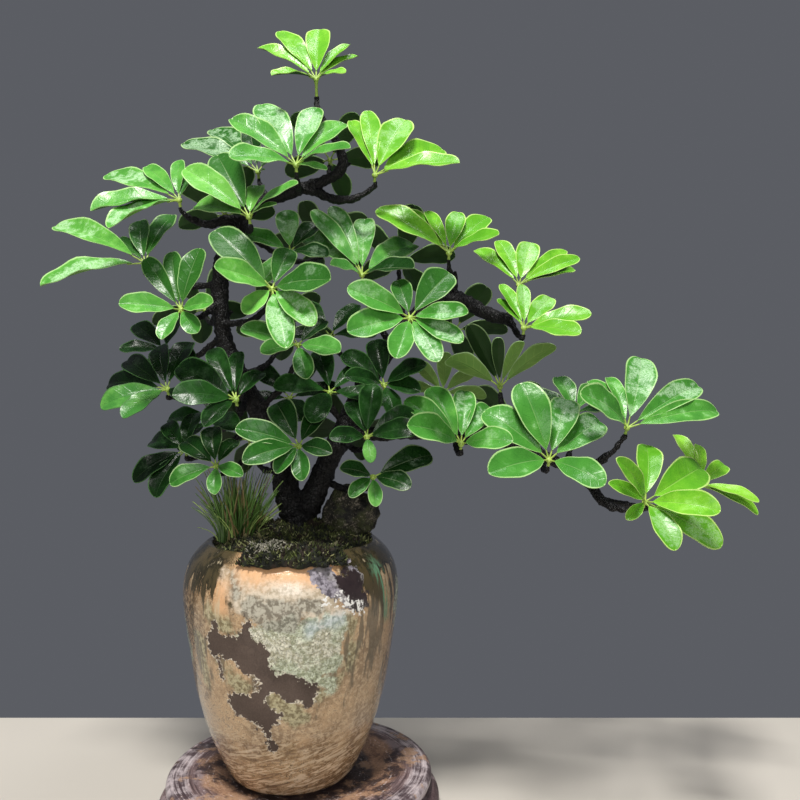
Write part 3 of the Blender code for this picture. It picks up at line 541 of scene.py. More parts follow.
def settle(piece, slot_name, *nodes):
    """Puts a finished piece on the part in place of its plain solids."""
    piece.data.set_sharp_from_angle(angle=SMOOTH_ANGLE)
    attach(piece, "root")
    if nodes:
        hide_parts(*nodes)


def merged_copy(node):
    """A solid's mesh with its loose triangles joined."""
    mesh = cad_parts[node].data.copy()
    weld(mesh)
    mesh.materials.clear()
    return mesh


def curve_through(stations, steps):
    """Smooth line of equal steps between stations, each a tuple of numbers."""
    line = []
    last = len(stations) - 1
    for i in range(last):
        before, low = stations[max(i - 1, 0)], stations[i]
        high, after = stations[i + 1], stations[min(i + 2, last)]
        for k in range(steps):
            t = k / steps
            line.append(tuple(
                0.5 * (2 * b + (c - a) * t + (2 * a - 5 * b + 4 * c - d) * t ** 2
                       + (3 * b - a - 3 * c + d) * t ** 3)
                for a, b, c, d in zip(before, low, high, after)))
    line.append(stations[-1])
    return line


# Finishes

def new_finish(name):
    """A material, its shader, and the place on the object for its noises."""
    mat = bpy.data.materials.new(name)
    mat.use_nodes = True
    place = Wire(mat.node_tree).node("ShaderNodeTexCoord", output="Object")
    return mat, mat.node_tree.nodes["Principled BSDF"], place


def feed(shader, **sockets):
    """Sets or links the shader's sockets, named with _ for a space."""
    for key, value in spaced(sockets).items():
        if isinstance(value, Wire):
            value.tree.links.new(value.socket, shader.inputs[key])
        else:
            shader.inputs[key].default_value = value


def bump(height, distance, strength):
    return height.node("ShaderNodeBump", {}, {
        "Height": height, "Distance": distance, "Strength": strength})


def own_number(pen, name):
    return pen.node("ShaderNodeAttribute", {"attribute_name": name}, output="Fac")


def paint(body, *coats):
    """Lays coats over a colour in turn, each a mask and a colour."""
    for mask, colour in coats:
        body = mask.blend(body, colour)
    return body


# Light, main, dark and shaded green, colour of the edge, share of pale spots and painted highlights
# The darker tones, mid and most of all deep, are partly the leaves' own green and partly painted
# shade for leaves inside the crown
LEAF_TONES = {
    "lime": ((0.29, 0.64, 0.05), (0.165, 0.48, 0.025), (0.075, 0.31, 0.014), (0.03, 0.12, 0.007),
             (0.54, 0.76, 0.22), 0.3),
    "fresh": ((0.185, 0.50, 0.08), (0.09, 0.35, 0.046), (0.04, 0.195, 0.024), (0.006, 0.035, 0.005),
              (0.42, 0.66, 0.26), 0.6),
    "mid": ((0.10, 0.33, 0.055), (0.035, 0.17, 0.020), (0.012, 0.075, 0.008), (0.003, 0.018, 0.003),
            (0.40, 0.58, 0.27), 0.5),
    "deep": ((0.018, 0.08, 0.012), (0.005, 0.026, 0.004), (0.002, 0.009, 0.0015),
             (0.001, 0.004, 0.001), (0.07, 0.17, 0.05), 0.12),
}
LIT_UNDERSIDE = (0.27, 0.41, 0.10)
SHADED_UNDERSIDE = (0.014, 0.038, 0.008)
SPOT_AND_HIGHLIGHT_GREEN = (0.55, 0.76, 0.52)
LIT_GREENS = ((0.06, 0.24, 0.04), (0.15, 0.42, 0.08))
VEIN_PAIRS = 8


def leaf_finish(tone):
    """Waxy leaf: pale edge, light midrib, fine side veins, dull underside, painted light and shade.
    """
    light, main, dark, shaded, edge, spot_and_highlight_share = LEAF_TONES[tone]
    mat, shader, place = new_finish("leaf_" + tone)
    across, along, _ = place.node("ShaderNodeUVMap", {"uv_map": "UVMap"}).parts()
    side = ((across - 0.5) * 2).size()
    tint, under, pale = (own_number(place, key) for key in ("tint", "under", "pale"))
    cloud = place.noise(55, 3, 0.55)
    blots = place.noise(150, 3, 0.6)
    grain = place.noise(430, 3, 0.65)
    speckle = place.noise(700, 3, 0.6)
    # A pale share over a half also paints light on the underside
    in_light = pale.step(0.5, 0.6)

    veins = ((along * VEIN_PAIRS).math("FRACT") - 0.5).size().step(0.5, 0.4)
    veins = veins * side.step(0.04, 0.2) * (1 - side.step(0.7, 0.98))
    rib = 1 - side.step(0.015, 0.06)
    rim = (side + (grain - 0.5) * 0.06).step(0.89, 0.945).over(along.step(0.965, 0.985))
    outer = along.step(0.2, 0.6) * (1 - along.step(0.86, 0.98)) * (1 - side.step(0.6, 0.95))
    # Pale spots that are partly painted highlights, mostly on the outer half of a leaflet
    spots_and_highlights = (cloud * 0.9 + blots * 0.6 + pale * 0.29 + outer * 0.17).step(1.03, 1.19)
    spots_and_highlights = (spots_and_highlights * (0.3 + speckle.step(0.42, 0.54) * 0.7)
              * spot_and_highlight_share * (0.4 + pale.step(0.4, 0.65) * 0.6))
    body = paint(
        (tint * 0.6 + cloud * 0.9 - 0.25).step(0.0, 0.8).blend(dark, main),
        ((tint * 0.5 + blots * 0.6 + cloud * 0.5 - 0.55).step(0.1, 0.6), light),
        ((1 - along.step(0.0, 0.3)) * 0.45, light),
        # Painted shade on the shaded leaflets
        ((tint * -0.85).over(0.0), shaded),
        # Painted light on the lit leaflets
        (tint.step(1.2, 1.5) * 0.85, cloud.step(0.4, 0.65).blend(*LIT_GREENS)),
        (veins * 0.05, light),
        # Pale spots and painted highlights on the upper side
        (spots_and_highlights * (1 - under), SPOT_AND_HIGHLIGHT_GREEN),
        (rib * 0.2, edge),
        (rim * (0.85 + tint.under(0.0) * 0.45), edge),
        # Undersides: painted light green where the pale share is high, painted shade elsewhere
        (under * (1 - rim * 0.8) * 0.9,
         in_light.blend(SHADED_UNDERSIDE, (cloud * 0.5).blend(LIT_UNDERSIDE, main))),
        (under * (rib * 0.6 + veins * 0.3) * in_light, main))
    relief = veins * -0.12 + rib * -0.4 + blots * 0.8 + grain * 0.12
    feed(shader, Base_Color=body, Roughness=0.22 + grain * 0.12 + under * 0.25,
         Normal=bump(relief, 0.7 * MM, 0.8), Specular_IOR_Level=0.26)
    return mat


def plain_finish(name, colours, shade, relief, rough):
    """Two colours that follow one noise.

    The relief is a noise, its height and its strength, and rough is a least roughness and
    what the shade adds to it.
    """
    mat, shader, place = new_finish(name)
    tone = place.noise(*shade)
    noise, height, strength = relief
    feed(shader, Base_Color=tone.step(0.3, 0.7).blend(*colours),
         Roughness=rough[0] + tone * rough[1],
         Normal=bump(place.noise(*noise), height, strength))
    return mat


def stalk_finish():
    """Yellow-green petioles."""
    return plain_finish("stalk", ((0.22, 0.36, 0.05), (0.42, 0.58, 0.11)), (160, 3),
                        ((700, 2), 0.2 * MM, 0.4), (0.4, 0.15))


BARK_SKIN = ((0.0012, 0.0011, 0.0015), (0.006, 0.0055, 0.0065))
BARK_WEAR_AND_SHEEN = (0.021, 0.024, 0.029)
BARK_CRACK = (0.001, 0.0008, 0.0008)


def bark_finish():
    """Black-brown ridged knobbly bark, with grey tops partly worn and partly painted highlight."""
    mat, shader, place = new_finish("bark")
    lumps = place.noise(170, 5, 0.65)
    fine = place.noise(650, 3, 0.6)
    cracks = place.cells(330, "DISTANCE_TO_EDGE").step(0.0, 0.12)
    body = paint(
        lumps.step(0.3, 0.7).blend(*BARK_SKIN),
        # Grey tops: partly wear, partly painted highlight
        ((lumps * 0.7 + fine * 0.4).step(0.62, 0.8), BARK_WEAR_AND_SHEEN),
        ((1 - cracks) * 0.7, BARK_CRACK))
    feed(shader, Base_Color=body, Roughness=0.3 + fine * 0.3, Specular_IOR_Level=0.4,
         Normal=bump(lumps + fine * 0.4 + cracks * 0.3, 1.8 * MM, 1.0))
    return mat


# How ragged each zone's edge is, and the distances in mm between which it sets in
ZONE_EDGES = {
    "cream": (1, 4, -4), "crackle": (1.3, 3, -3), "frost": (0.5, 4, -5), "khaki": (0.8, 3, -4),
    "grey": (0.8, 2, -3), "peach": (0.6, 6, -8), "front": (0.8, -5, 5),
}
# Colours of the glaze, as a darker and a lighter one where they vary
GLAZE = {
    "tan": ((0.25, 0.155, 0.075), (0.56, 0.37, 0.20)), "shade": (0.5, 0.47, 0.40),
    "sand": (0.74, 0.55, 0.34), "speck": (0.10, 0.062, 0.03), "burnt": (0.085, 0.05, 0.022),
    "scratch": (0.84, 0.68, 0.48), "groove": (0.10, 0.062, 0.038),
    "cream": ((0.47, 0.39, 0.28), (0.73, 0.63, 0.50)),
    "crackle": ((0.38, 0.42, 0.27), (0.72, 0.78, 0.60)),
    "ivory": ((0.48, 0.46, 0.32), (0.86, 0.84, 0.70)),
    "crack": (0.10, 0.11, 0.055), "dot": (0.09, 0.07, 0.04),
    "frost": ((0.40, 0.50, 0.50), (0.74, 0.82, 0.86)),
    "khaki": ((0.16, 0.13, 0.05), (0.50, 0.46, 0.27)), "khaki_crack": (0.09, 0.08, 0.03),
    "grey": ((0.17, 0.155, 0.12), (0.46, 0.44, 0.36)), "peach": (0.82, 0.47, 0.24),
    "olive": ((0.014, 0.011, 0.004), (0.085, 0.07, 0.032)),
    "streak": (0.075, 0.055, 0.025), "glint": (0.60, 0.50, 0.33),
    "sheen": ((0.07, 0.20, 0.10), (0.20, 0.46, 0.28)),
    "lilac": ((0.09, 0.078, 0.095), (0.36, 0.33, 0.38)), "lilac_cloud": (0.42, 0.40, 0.36),
    "purple": ((0.010, 0.006, 0.008), (0.045, 0.028, 0.03)), "fleck": (0.88, 0.87, 0.84),
    "clay": ((0.062, 0.040, 0.030), (0.125, 0.088, 0.07)), "chip": (0.82, 0.75, 0.62),
}


# Places on the jar: ends (arc in mm at a radius of 95 mm, height above the foot) and half width
BARE_STROKES = (
    ((-58, 143), (-16, 137), 10), ((-57, 142), (-56, 157), 3.5), ((-27, 148), (-23, 163), 4),
    ((-27, 133), (2, 112), 9), ((2, 113), (26, 102), 10), ((-36, 92), (-10, 84), 11),
    ((-8, 106), (-26, 90), 8), ((-10, 82), (-9, 55), 4), ((-54, 128), (-53, 115), 1.5),
    ((-190, 128), (-150, 100), 9), ((-150, 100), (-140, 72), 6), ((170, 150), (205, 132), 7),
)
ISLAND = ((-6, 97), (12, 86), 5)
JAR_ZONES = {
    "bare": BARE_STROKES,
    "purple": (((38, 200), (50, 190), 10), ((52, 190), (68, 178), 11), ((66, 202), (70, 188), 6)),
    "deep_purple": (((60, 196), (70, 178), 11),),
    "fleck": (((38, 179), (52, 183), 3), ((52, 178), (70, 170), 5)),
    "crackle": (((-16, 150), (45, 152), 16), ((-5, 138), (42, 135), 18), ((28, 120), (42, 112), 9),
                ((-210, 150), (-130, 130), 26), ((150, 160), (220, 150), 22)),
    "grey": (((-16, 172), (10, 168), 12), ((22, 178), (32, 174), 5), ((-38, 200), (-36, 186), 5)),
    "peach": (((-22, 212), (38, 212), 19), ((-50, 190), (-48, 176), 8)),
    "cream": (((-28, 188), (34, 188), 17), ((30, 168), (56, 164), 9), ((-50, 196), (-46, 188), 6)),
    # Pale blue painted highlight over the crackle
    "frost": (((28, 158), (50, 164), 6),),
    "sheen": (((98, 198), (106, 160), 8),),
    "khaki": (((-8, 98), (14, 84), 12), ((-50, 120), (-30, 106), 9), ((-62, 168), (-46, 160), 8),
              ((-80, 140), (-76, 110), 8), ((62, 160), (64, 122), 8), ((54, 112), (32, 98), 5)),
    "front": (((-28, 200), (34, 200), 24), ((-20, 170), (44, 170), 20)),
}
SHOULDER = 200
ARC_RADIUS = 95


def jar_spot(place):
    """Arc and height on the jar, in mm."""
    x, y, z = place.parts()
    return x.join(x.math("ARCTAN2", y * -1) * ARC_RADIUS, (z - JAR_FOOT) / MM, 0.0)


def stroke(spot, low, high, half):
    """Distance in mm from a thick stroke, less than 0 inside it."""
    way = Vector(high) - Vector(low)
    unit = way / way.length_squared
    ahead = spot - (*low, 0)
    share = ahead.dot((*unit, 0)).over(0.0).under(1.0)
    return (ahead - share * (*way, 0)).length() - half


def glaze_ground(place, height, grain):
    """Tan glaze with painted shade at the left, specks and burnt places."""
    cloud, fine, speck = grain["cloud"], grain["fine"], grain["speck"]
    # Painted shade over the left side
    shaded = ((place.part("X") / MM + grain["spread"]).step(-52, -78)
              * place.noise(60, 4, 0.6).step(0.42, 0.56))
    body = place.node("ShaderNodeMix", {"data_type": "RGBA", "blend_type": "MULTIPLY"}, {
        "Factor": 1.0, "A": cloud.step(0.35, 0.65).blend(*GLAZE["tan"]),
        "B": shaded.blend((1, 1, 1), GLAZE["shade"])})
    burnt = (cloud * 0.6 + fine * 0.5 + (height - 165).step(0, 20) * 0.1).step(0.6, 0.68)
    return paint(
        body,
        (fine.step(0.45, 0.62) * 0.5, GLAZE["sand"]),
        (speck.step(0.55, 0.66) * 0.6, GLAZE["speck"]),
        (burnt * speck.step(0.4, 0.55) * 0.7, GLAZE["burnt"]))


def glaze_patches(body, grain, zone):
    """Cream, crackled, khaki, grey and peach places, and a pale blue painted highlight."""
    cloud, fine, worm = grain["cloud"], grain["fine"], grain["worm"]
    crackle = paint(
        fine.step(0.4, 0.6).blend(*GLAZE["crackle"]),
        (cloud.step(0.45, 0.6), fine.step(0.4, 0.6).blend(*GLAZE["ivory"])),
        (worm * 0.75, GLAZE["crack"]),
        (grain["speck"].step(0.6, 0.68) * 0.8, GLAZE["dot"]))
    khaki = (worm * 0.6).blend(fine.step(0.4, 0.6).blend(*GLAZE["khaki"]), GLAZE["khaki_crack"])
    return paint(
        body,
        (zone["cream"], fine.step(0.36, 0.62).blend(*GLAZE["cream"])),
        (zone["crackle"], crackle),
        # Pale blue painted highlight
        (zone["frost"] * 0.75, fine.step(0.4, 0.6).blend(*GLAZE["frost"])),
        (zone["khaki"] * (1 - zone["crackle"]) * 0.85, khaki),
        (zone["grey"] * 0.85, fine.step(0.42, 0.58).blend(*GLAZE["grey"])),
        (zone["peach"] * 0.85, GLAZE["peach"]))


def glaze_runs(body, place, height, grain, zone):
    """Olive shoulder with the streaks and glints that run down from it, and a green sheen."""
    drip = grain["drip"]
    front = zone["front"] * (1 - zone["crackle"]) * (1 - zone["cream"]) * (1 - zone["grey"])
    olive = (height + (drip - 0.5) * 150).step(SHOULDER - 22, SHOULDER - 14) * front
    streak = (height + (drip - 0.5) * 300).step(110, 150) * front * drip.step(0.5, 0.56)
    glint = (height + (0.5 - drip) * 200).step(150, 175) * front * (1 - drip.step(0.32, 0.42))
    sheen = (own_number(place, "sheen") + (drip - 0.5) * 60).step(5, -3)
    return paint(
        body,
        (olive, drip.step(0.35, 0.7).blend(*GLAZE["olive"])),
        (streak * 0.75, GLAZE["streak"]),
        (glint * 0.7, GLAZE["glint"]),
        (sheen * drip.step(0.42, 0.56) * 0.85, grain["fine"].blend(*GLAZE["sheen"])))


def nearest(spot, strokes):
    result = stroke(spot, *strokes[0])
    for item in strokes[1:]:
        result = result.under(stroke(spot, *item))
    return result


def jar_zones(place):
    """Distances in mm from the plain edges of the jar's zones, less than 0 inside."""
    spot = jar_spot(place)
    zones = {key: nearest(spot, strokes) for key, strokes in JAR_ZONES.items()}
    zones["bare"] = zones["bare"].over(stroke(spot, *ISLAND) * -1)
    return zones


def ragged(near, place):
    """Distance in mm from the ragged edge of a bare place."""
    return near + (place.noise(70, 4, 0.7) - 0.5) * 26 + (place.noise(420, 3, 0.6) - 0.5) * 9


def jar_finish():
    """Tan glaze with a pale crackled patch, bare brown places and an olive shoulder."""
    mat, shader, place = new_finish("jar_glaze")
    x, y, z = place.parts()
    height = (z - JAR_FOOT) / MM
    cloud = place.noise(24, 4, 0.6)
    spread = (place.noise(48, 4, 0.65) - 0.5) * 40
    fine = place.noise(280, 4, 0.6)
    speck = place.noise(900, 2, 0.6)
    worm = 1 - (place.noise(430, 3, 0.6, 1.0) - 0.5).size().step(0.0, 0.05)
    drip = (place * (1.0, 1.0, 0.12)).noise(95, 4, 0.6)
    grain = {"cloud": cloud, "spread": spread, "fine": fine, "speck": speck, "worm": worm,
             "drip": drip}
    zone = {key: (own_number(place, key) + spread * share).step(start, end)
            for key, (share, start, end) in ZONE_EDGES.items()}
    low = 1 - (height + spread * 0.6).step(20, 84)
    lines = x.join(x * 0.2, y * 0.2, z - x * 0.28).noise(260, 4, 0.7, 1.2)
    body = paint(
        glaze_ground(place, height, grain),
        (low * lines.step(0.5, 0.58) * 0.9, GLAZE["scratch"]),
        (low * (1 - lines.step(0.38, 0.46)) * 0.65, GLAZE["groove"]))
    body = glaze_patches(body, grain, zone)
    body = glaze_runs(body, place, height, grain, zone)

    jag = (place.noise(110, 4, 0.7) - 0.5) * 24
    broken = (own_number(place, "purple") + jag).step(0.6, -0.6)
    deep = (own_number(place, "deep_purple") + jag).step(1.0, -1.0)
    lilac = paint(fine.step(0.35, 0.6).blend(*GLAZE["lilac"]),
                  (cloud.step(0.45, 0.6) * 0.6, GLAZE["lilac_cloud"]))
    fleck = (own_number(place, "fleck") + (place.noise(240, 3, 0.7) - 0.5) * 26).step(0.4, -0.4)
    edge = ragged(own_number(place, "bare"), place)
    bare = edge.step(0.3, -0.3)
    chip = edge.step(-0.3, 0.2) * (1 - edge.step(0.7, 1.8)) * fine.step(0.45, 0.55)
    body = paint(
        body,
        (broken, deep.blend(lilac, fine.blend(*GLAZE["purple"]))),
        (fleck * fine.step(0.48, 0.54), GLAZE["fleck"]),
        (bare, (cloud * 0.6 + speck * 0.4).step(0.3, 0.7).blend(*GLAZE["clay"])),
        (chip * 0.9, GLAZE["chip"]))
    matt = bare.over(broken * 0.3)
    relief = (fine * 0.8 + speck * 0.15 + low * lines * 1.2 - bare * 1.2 - broken * 0.5
              + chip * 0.4 - worm * zone["crackle"] * 0.5)
    feed(shader, Base_Color=body, Roughness=0.14 + fine * 0.16 + matt * 0.5,
         Normal=bump(relief, 0.8 * MM, 0.7), Coat_Weight=(1 - matt) * 0.6, Coat_Roughness=0.06)
    return mat


# Colours of the stand, as a darker and a lighter one where they vary
STAIN = {
    "rings": ((0.070, 0.042, 0.044), (0.26, 0.18, 0.18)), "blots": (0.30, 0.23, 0.235),
    "slope": ((0.17, 0.085, 0.05), (0.52, 0.31, 0.19)),
    # Floor of the dish round the jar's foot: painted shade of the jar
    "floor": ((0.022, 0.014, 0.012), (0.085, 0.055, 0.045)),
    "rim": ((0.07, 0.045, 0.052), (0.60, 0.52, 0.54)),
    "worn": ((0.34, 0.19, 0.11), (0.58, 0.38, 0.25)), "dark": (0.03, 0.018, 0.022),
    "scratch": (0.66, 0.58, 0.58),
}


def stand_finish():
    """Purple-brown stain, scratched pale on the rim, worn to orange round the dish, painted shade
    on its floor.
    """
    mat, shader, place = new_finish("stand_wood")
    x, y, z = place.parts()
    across = x - STAND_MIDDLE
    radius = (across * across + y * y).root() / MM
    cloud = place.noise(38, 4, 0.6)
    blots = place.noise(58, 5, 0.66)
    fine = place.noise(420, 4, 0.65)
    rings = x.join(x * 18, y * 18, radius * 0.4 + z * 330).noise(1.0, 5, 0.7)
    wander = (place.noise(26, 4) - 0.5) * 44
    upper = z.step(29 * MM, 34 * MM)
    slope = (radius + wander * 0.6).step(62, 70) * (1 - (radius + wander).step(84, 96)) * upper
    # Painted shade on the dish's floor round the jar
    floor = (1 - (radius + wander * 0.3).step(62, 70)) * upper
    rim = (radius + wander * 0.3).step(100, 106) * upper
    worn = place.noise(32, 5, 0.68).step(0.53, 0.62) * upper
    dark = (place * (1.0, 1.0, 0.3)).noise(34, 5, 0.66).step(0.53, 0.62)
    body = paint(
        rings.step(0.35, 0.65).blend(*STAIN["rings"]),
        ((cloud * 0.5 + blots * 0.6).step(0.56, 0.64), STAIN["blots"]),
        (slope * 0.9, (blots * 0.6 + fine * 0.5).step(0.4, 0.66).blend(*STAIN["slope"])),
        # Painted shade round the jar's foot
        (floor * 0.9, blots.step(0.4, 0.7).blend(*STAIN["floor"])),
        (rim * 0.9, (rings * 0.5 + blots * 0.5).step(0.42, 0.58).blend(*STAIN["rim"])),
        (worn * 0.85, fine.blend(*STAIN["worn"])),
        (dark * 0.85, STAIN["dark"]),
        ((rings * 0.6 + fine * 0.5).step(0.62, 0.68) * 0.65, STAIN["scratch"]))
    feed(shader, Base_Color=body, Roughness=0.36 + fine * 0.3,
         Normal=bump(rings + fine * 0.5 - worn * 0.5 - dark * 0.4, 1.0 * MM, 0.9))
    return mat


def soil_finish():
    """Dark moist soil."""
    lumps = (350, 4, 0.7)
    return plain_finish("soil", ((0.012, 0.008, 0.005), (0.075, 0.052, 0.034)), lumps,
                        (lumps, 1.5 * MM, 0.8), (0.85, 0.12))


MOSS_GREEN = ((0.004, 0.0055, 0.002), (0.075, 0.095, 0.02))
MOSS_BROWN = (0.018, 0.011, 0.006)
MOSS_TIP = (0.25, 0.27, 0.11)


def moss_finish():
    """Dark green moss with brown patches and some pale shoots."""
    mat, shader, place = new_finish("moss")
    tint = own_number(place, "tint")
    patch = place.noise(60, 4, 0.6)
    body = paint(
        (patch * 0.8 + tint * 0.4).step(0.42, 0.85).blend(*MOSS_GREEN),
        (place.noise(80, 4, 0.6).step(0.54, 0.6), MOSS_BROWN),
        (tint.step(0.86, 0.9) * place.noise(40, 3).step(0.44, 0.54), MOSS_TIP))
    feed(shader, Base_Color=body, Roughness=0.85 + patch * 0.12,
         Normal=bump(place.noise(600, 3), 0.6 * MM, 0.7))
    return mat


def crumb_finish(name, dark, pale):
    """Loose bits, each with its own tint between two colours."""
    mat, shader, place = new_finish(name)
    tint = own_number(place, "tint")
    body = (tint * 0.8 + place.noise(400, 2) * 0.3).blend(dark, pale)
    feed(shader, Base_Color=body, Roughness=0.8 + tint * 0.1,
         Normal=bump(place.noise(900, 2), 0.3 * MM, 0.6))
    return mat


ROCK_GROUND = ((0.003, 0.003, 0.003), (0.034, 0.031, 0.022))
ROCK_MOSS = (0.045, 0.052, 0.018)
ROCK_PALE = (0.24, 0.21, 0.16)


def rock_finish():
    """Dark rock with mossy patches and pale grains."""
    mat, shader, place = new_finish("rock")
    lumps = place.noise(70, 6, 0.65)
    fine = place.noise(500, 4, 0.7)
    body = paint(
        lumps.step(0.4, 0.6).blend(*ROCK_GROUND),
        (place.noise(40, 4, 0.6).step(0.48, 0.58), ROCK_MOSS),
        ((lumps * 0.5 + fine * 0.6).step(0.58, 0.68), ROCK_PALE))
    feed(shader, Base_Color=body, Roughness=0.7 + fine * 0.2,
         Normal=bump(lumps + fine * 0.5, 2 * MM, 0.9))
    return mat


GRASS_GREEN = ((0.012, 0.034, 0.008), (0.18, 0.37, 0.07))
GRASS_DRY = (0.20, 0.15, 0.06)
GRASS_YOUNG = (0.40, 0.56, 0.16)
GRASS_TIP = (0.25, 0.22, 0.10)


def grass_finish():
    """Green blades, lighter at the top, with some dry and some young ones."""
    mat, shader, place = new_finish("grass")
    tint = own_number(place, "tint")
    height = place.part("Z").step(SOIL_TOP, SOIL_TOP + 70 * MM)
    body = paint(
        (height * 0.5 + tint * 0.5).blend(*GRASS_GREEN),
        (tint.step(0.7, 0.76), GRASS_DRY),
        (tint.step(0.84, 0.88), GRASS_YOUNG),
        (height.step(0.8, 1.0) * tint * 0.5, GRASS_TIP))
    feed(shader, Base_Color=body, Roughness=0.45 + tint * 0.15,
         Normal=bump(place.noise(1200, 2), 0.15 * MM, 0.4))
    return mat


# Places of leaves and twigs

def seen(u, v, depth):
    """Real place of a picture position at a depth in mm behind the jar's axis."""
    away = depth * MM
    step = PICTURE_STEP * (VIEW_DISTANCE + away) / VIEW_DISTANCE
    across = (u - PICTURE_MIDDLE) * step + VIEW_SIDE
    up = VIEW_HEIGHT - (v - PICTURE_MIDDLE) * step
    return Vector((across, away, up))


def facing_of(turn, rise):
    """Direction in which a leaf shows its upper side."""
    flat = math.cos(math.radians(rise))
    across = math.sin(math.radians(turn)) * flat
    toward = math.cos(math.radians(turn)) * flat
    return Vector((across, -toward, math.sin(math.radians(rise))))


Leaf = namedtuple("Leaf", "name tone hub facing tips twig")


def seen_tips(hub_at, facing, tips):
    """Tips along their lines of sight. A leaflet that looks short points to the viewer or away."""
    depth = hub_at[2]
    hub = seen(*hub_at)
    longest = max((seen(u, v, depth) - hub).length for u, v in tips) * LONGEST_SLANT
    ends = []
    for u, v in tips:
        reach = (seen(u, v, depth) - hub).length
        real = min(longest, reach * SHORTEST_SLANT)
        away = math.sqrt(max(real ** 2 - reach ** 2, 0)) / MM
        choices = (seen(u, v, depth - away), seen(u, v, depth + away))
        ends.append(min(choices, key=lambda end: abs((end - hub).normalized().dot(facing) - LIFT)))
    return ends


RING_TURN_PLAY = 0.12
RING_LENGTH_PLAY = (0.86, 1.0)


def ring_tips(hub, facing, length, count, roll, rng):
    """Tips evenly round the facing direction, raised into a shallow cone."""
    side = facing.cross(Vector((0, 0, 1))).normalized()
    other = facing.cross(side)
    ends = []
    for i in range(count):
        play = rng.uniform(-RING_TURN_PLAY, RING_TURN_PLAY)
        turn = math.radians(roll) + 2 * math.pi * i / count + play
        outward = side * math.cos(turn) + other * math.sin(turn)
        way = (outward + facing * LIFT).normalized()
        ends.append(hub + way * length * MM * rng.uniform(*RING_LENGTH_PLAY))
    return ends


def blade_breadth(leaf, tip):
    """A leaflet's usual share of its length, or less where its neighbours stand close."""
    way = tip - leaf.hub
    angle = min(way.angle(end - leaf.hub) for end in leaf.tips if end is not tip)
    room = 2 * way.length * WIDEST_SHARE * math.tan(angle / 2) * ROOM_USED
    return max(min(way.length * LEAFLET_BREADTH[leaf.tone], room), way.length * LEAST_BREADTH)


def petiole_foot(leaf):
    """Where the petiole meets its twig, behind and below the hub."""
    way = (leaf.facing + Vector((0, 0, PETIOLE_RISE))).normalized()
    return leaf.hub - way * (CROWN_PETIOLE if leaf.name == "leaf_crown" else PETIOLE_LENGTH)


def leaf_plan():
    """Every leaf, in the order in which they are built."""
    rng = random.Random(SEED + 3)
    plan = []
    for name, tone, hub_at, face, twig, tips in SEEN_LEAVES:
        facing = facing_of(*face)
        tips = seen_tips(hub_at, facing, tips)
        plan.append(Leaf(name, tone, seen(*hub_at), facing, tips, twig))
    for name, tone, hub_at, face, length, twig, count, roll in HIDDEN_LEAVES:
        facing = facing_of(*face)
        hub = seen(*hub_at)
        tips = ring_tips(hub, facing, length, count, roll, rng)
        plan.append(Leaf(name, tone, hub, facing, tips, twig))
    return plan


def core_near(place):
    """Point on the boughs' centre lines that lies nearest to a place."""
    best = None
    for stations in BOUGHS:
        core = [seen(*station[:3]) for station in stations]
        for low, high in zip(core, core[1:]):
            share = (place - low).dot(high - low) / (high - low).length_squared
            point = low.lerp(high, min(max(share, 0), 1))
            if best is None or (point - place).length < (best - place).length:
                best = point
    return best


def twig_path(start, foot, grow_way):
    """Curve from the bough's core to just short of the petiole, ending in line with it."""
    end = foot - grow_way * TWIG_GAP
    reach = (end - start).length
    swing = start + (end - start) * TWIG_SWING - Vector((0, 0, reach * TWIG_SAG))
    bend = end - grow_way * reach * TWIG_BEND
    # Halfway along a curve with these four control points
    middle = start * 0.125 + swing * 0.375 + bend * 0.375 + end * 0.125
    return (start, middle, end - grow_way * TWIG_STRAIGHT, end)


# Leaves

LEAFLET_SIZES = {
    "Rows": 18, "Columns": 11, "Thickness": 0.6 * MM, "Droop": 0.05, "Sweep": 0.28,
    "Rib groove": 0.22 * MM, "Stalk share": 0.17, "Stalk radius": 0.85 * MM, "Stalk sides": 7,
}
# Leaves above this height are seen from below, and their tips hardly bend down
FLAT_TIPS_ABOVE = 420 * MM
FLAT_DROOP = -0.02
DROOP_START = 0.6
BASE_NARROWING = 0.8
BLADE_START = 0.12
ROW_SPREAD = 0.85
COLUMN_SPREAD = 1.3
NOTCH_SHARPNESS = 26
CREASE = 0.16
RIB_BREADTH = 0.22
WAVES = 2.3
WAVE_HEIGHT = 0.1
PETIOLE_SIDES = 10
# Ranges of the random draws for a leaf and its leaflets
LEAF_TINT = (0.2, 0.8)
LENGTH_PLAY = (1.0, 1.02)
BREADTH_PLAY = (0.98, 1.08)
NOTCHES = (0.0, 0.0, 0.008, 0.02)
FOLD = (0.2, 0.5)
TWIST = (-0.16, 0.16)
TINT_PLAY = (-0.25, 0.25)
SPOT_AND_HIGHLIGHT_RANGE = (0.65, 1)
PLAIN_SHARE = (0, 0.35)


def leaflet_blank(pin):
    """Flat leaflet of two faces. Its plan says how far across, along and up each point lies."""
    base = pin["Geometry"]
    grid = base.geo("MeshGrid", Size_X=2.0, Size_Y=1.0, Vertices_X=pin["Columns"],
                    Vertices_Y=pin["Rows"])
    upper = grid.geo("ExtrudeMesh", Mesh=grid, Offset_Scale=1.0, Individual=False)
    lower = stored(grid.geo("FlipFaces", Mesh=grid), "under", 1.0, domain="FACE")
    blank = welded(joined(upper, lower))
    x, y, level = place_of(blank).parts()
    spread = (x.size() ** COLUMN_SPREAD) * x.math("SIGN")
    return stored(blank, "plan", blank.join(spread, y + 0.5, level), "FLOAT_VECTOR")


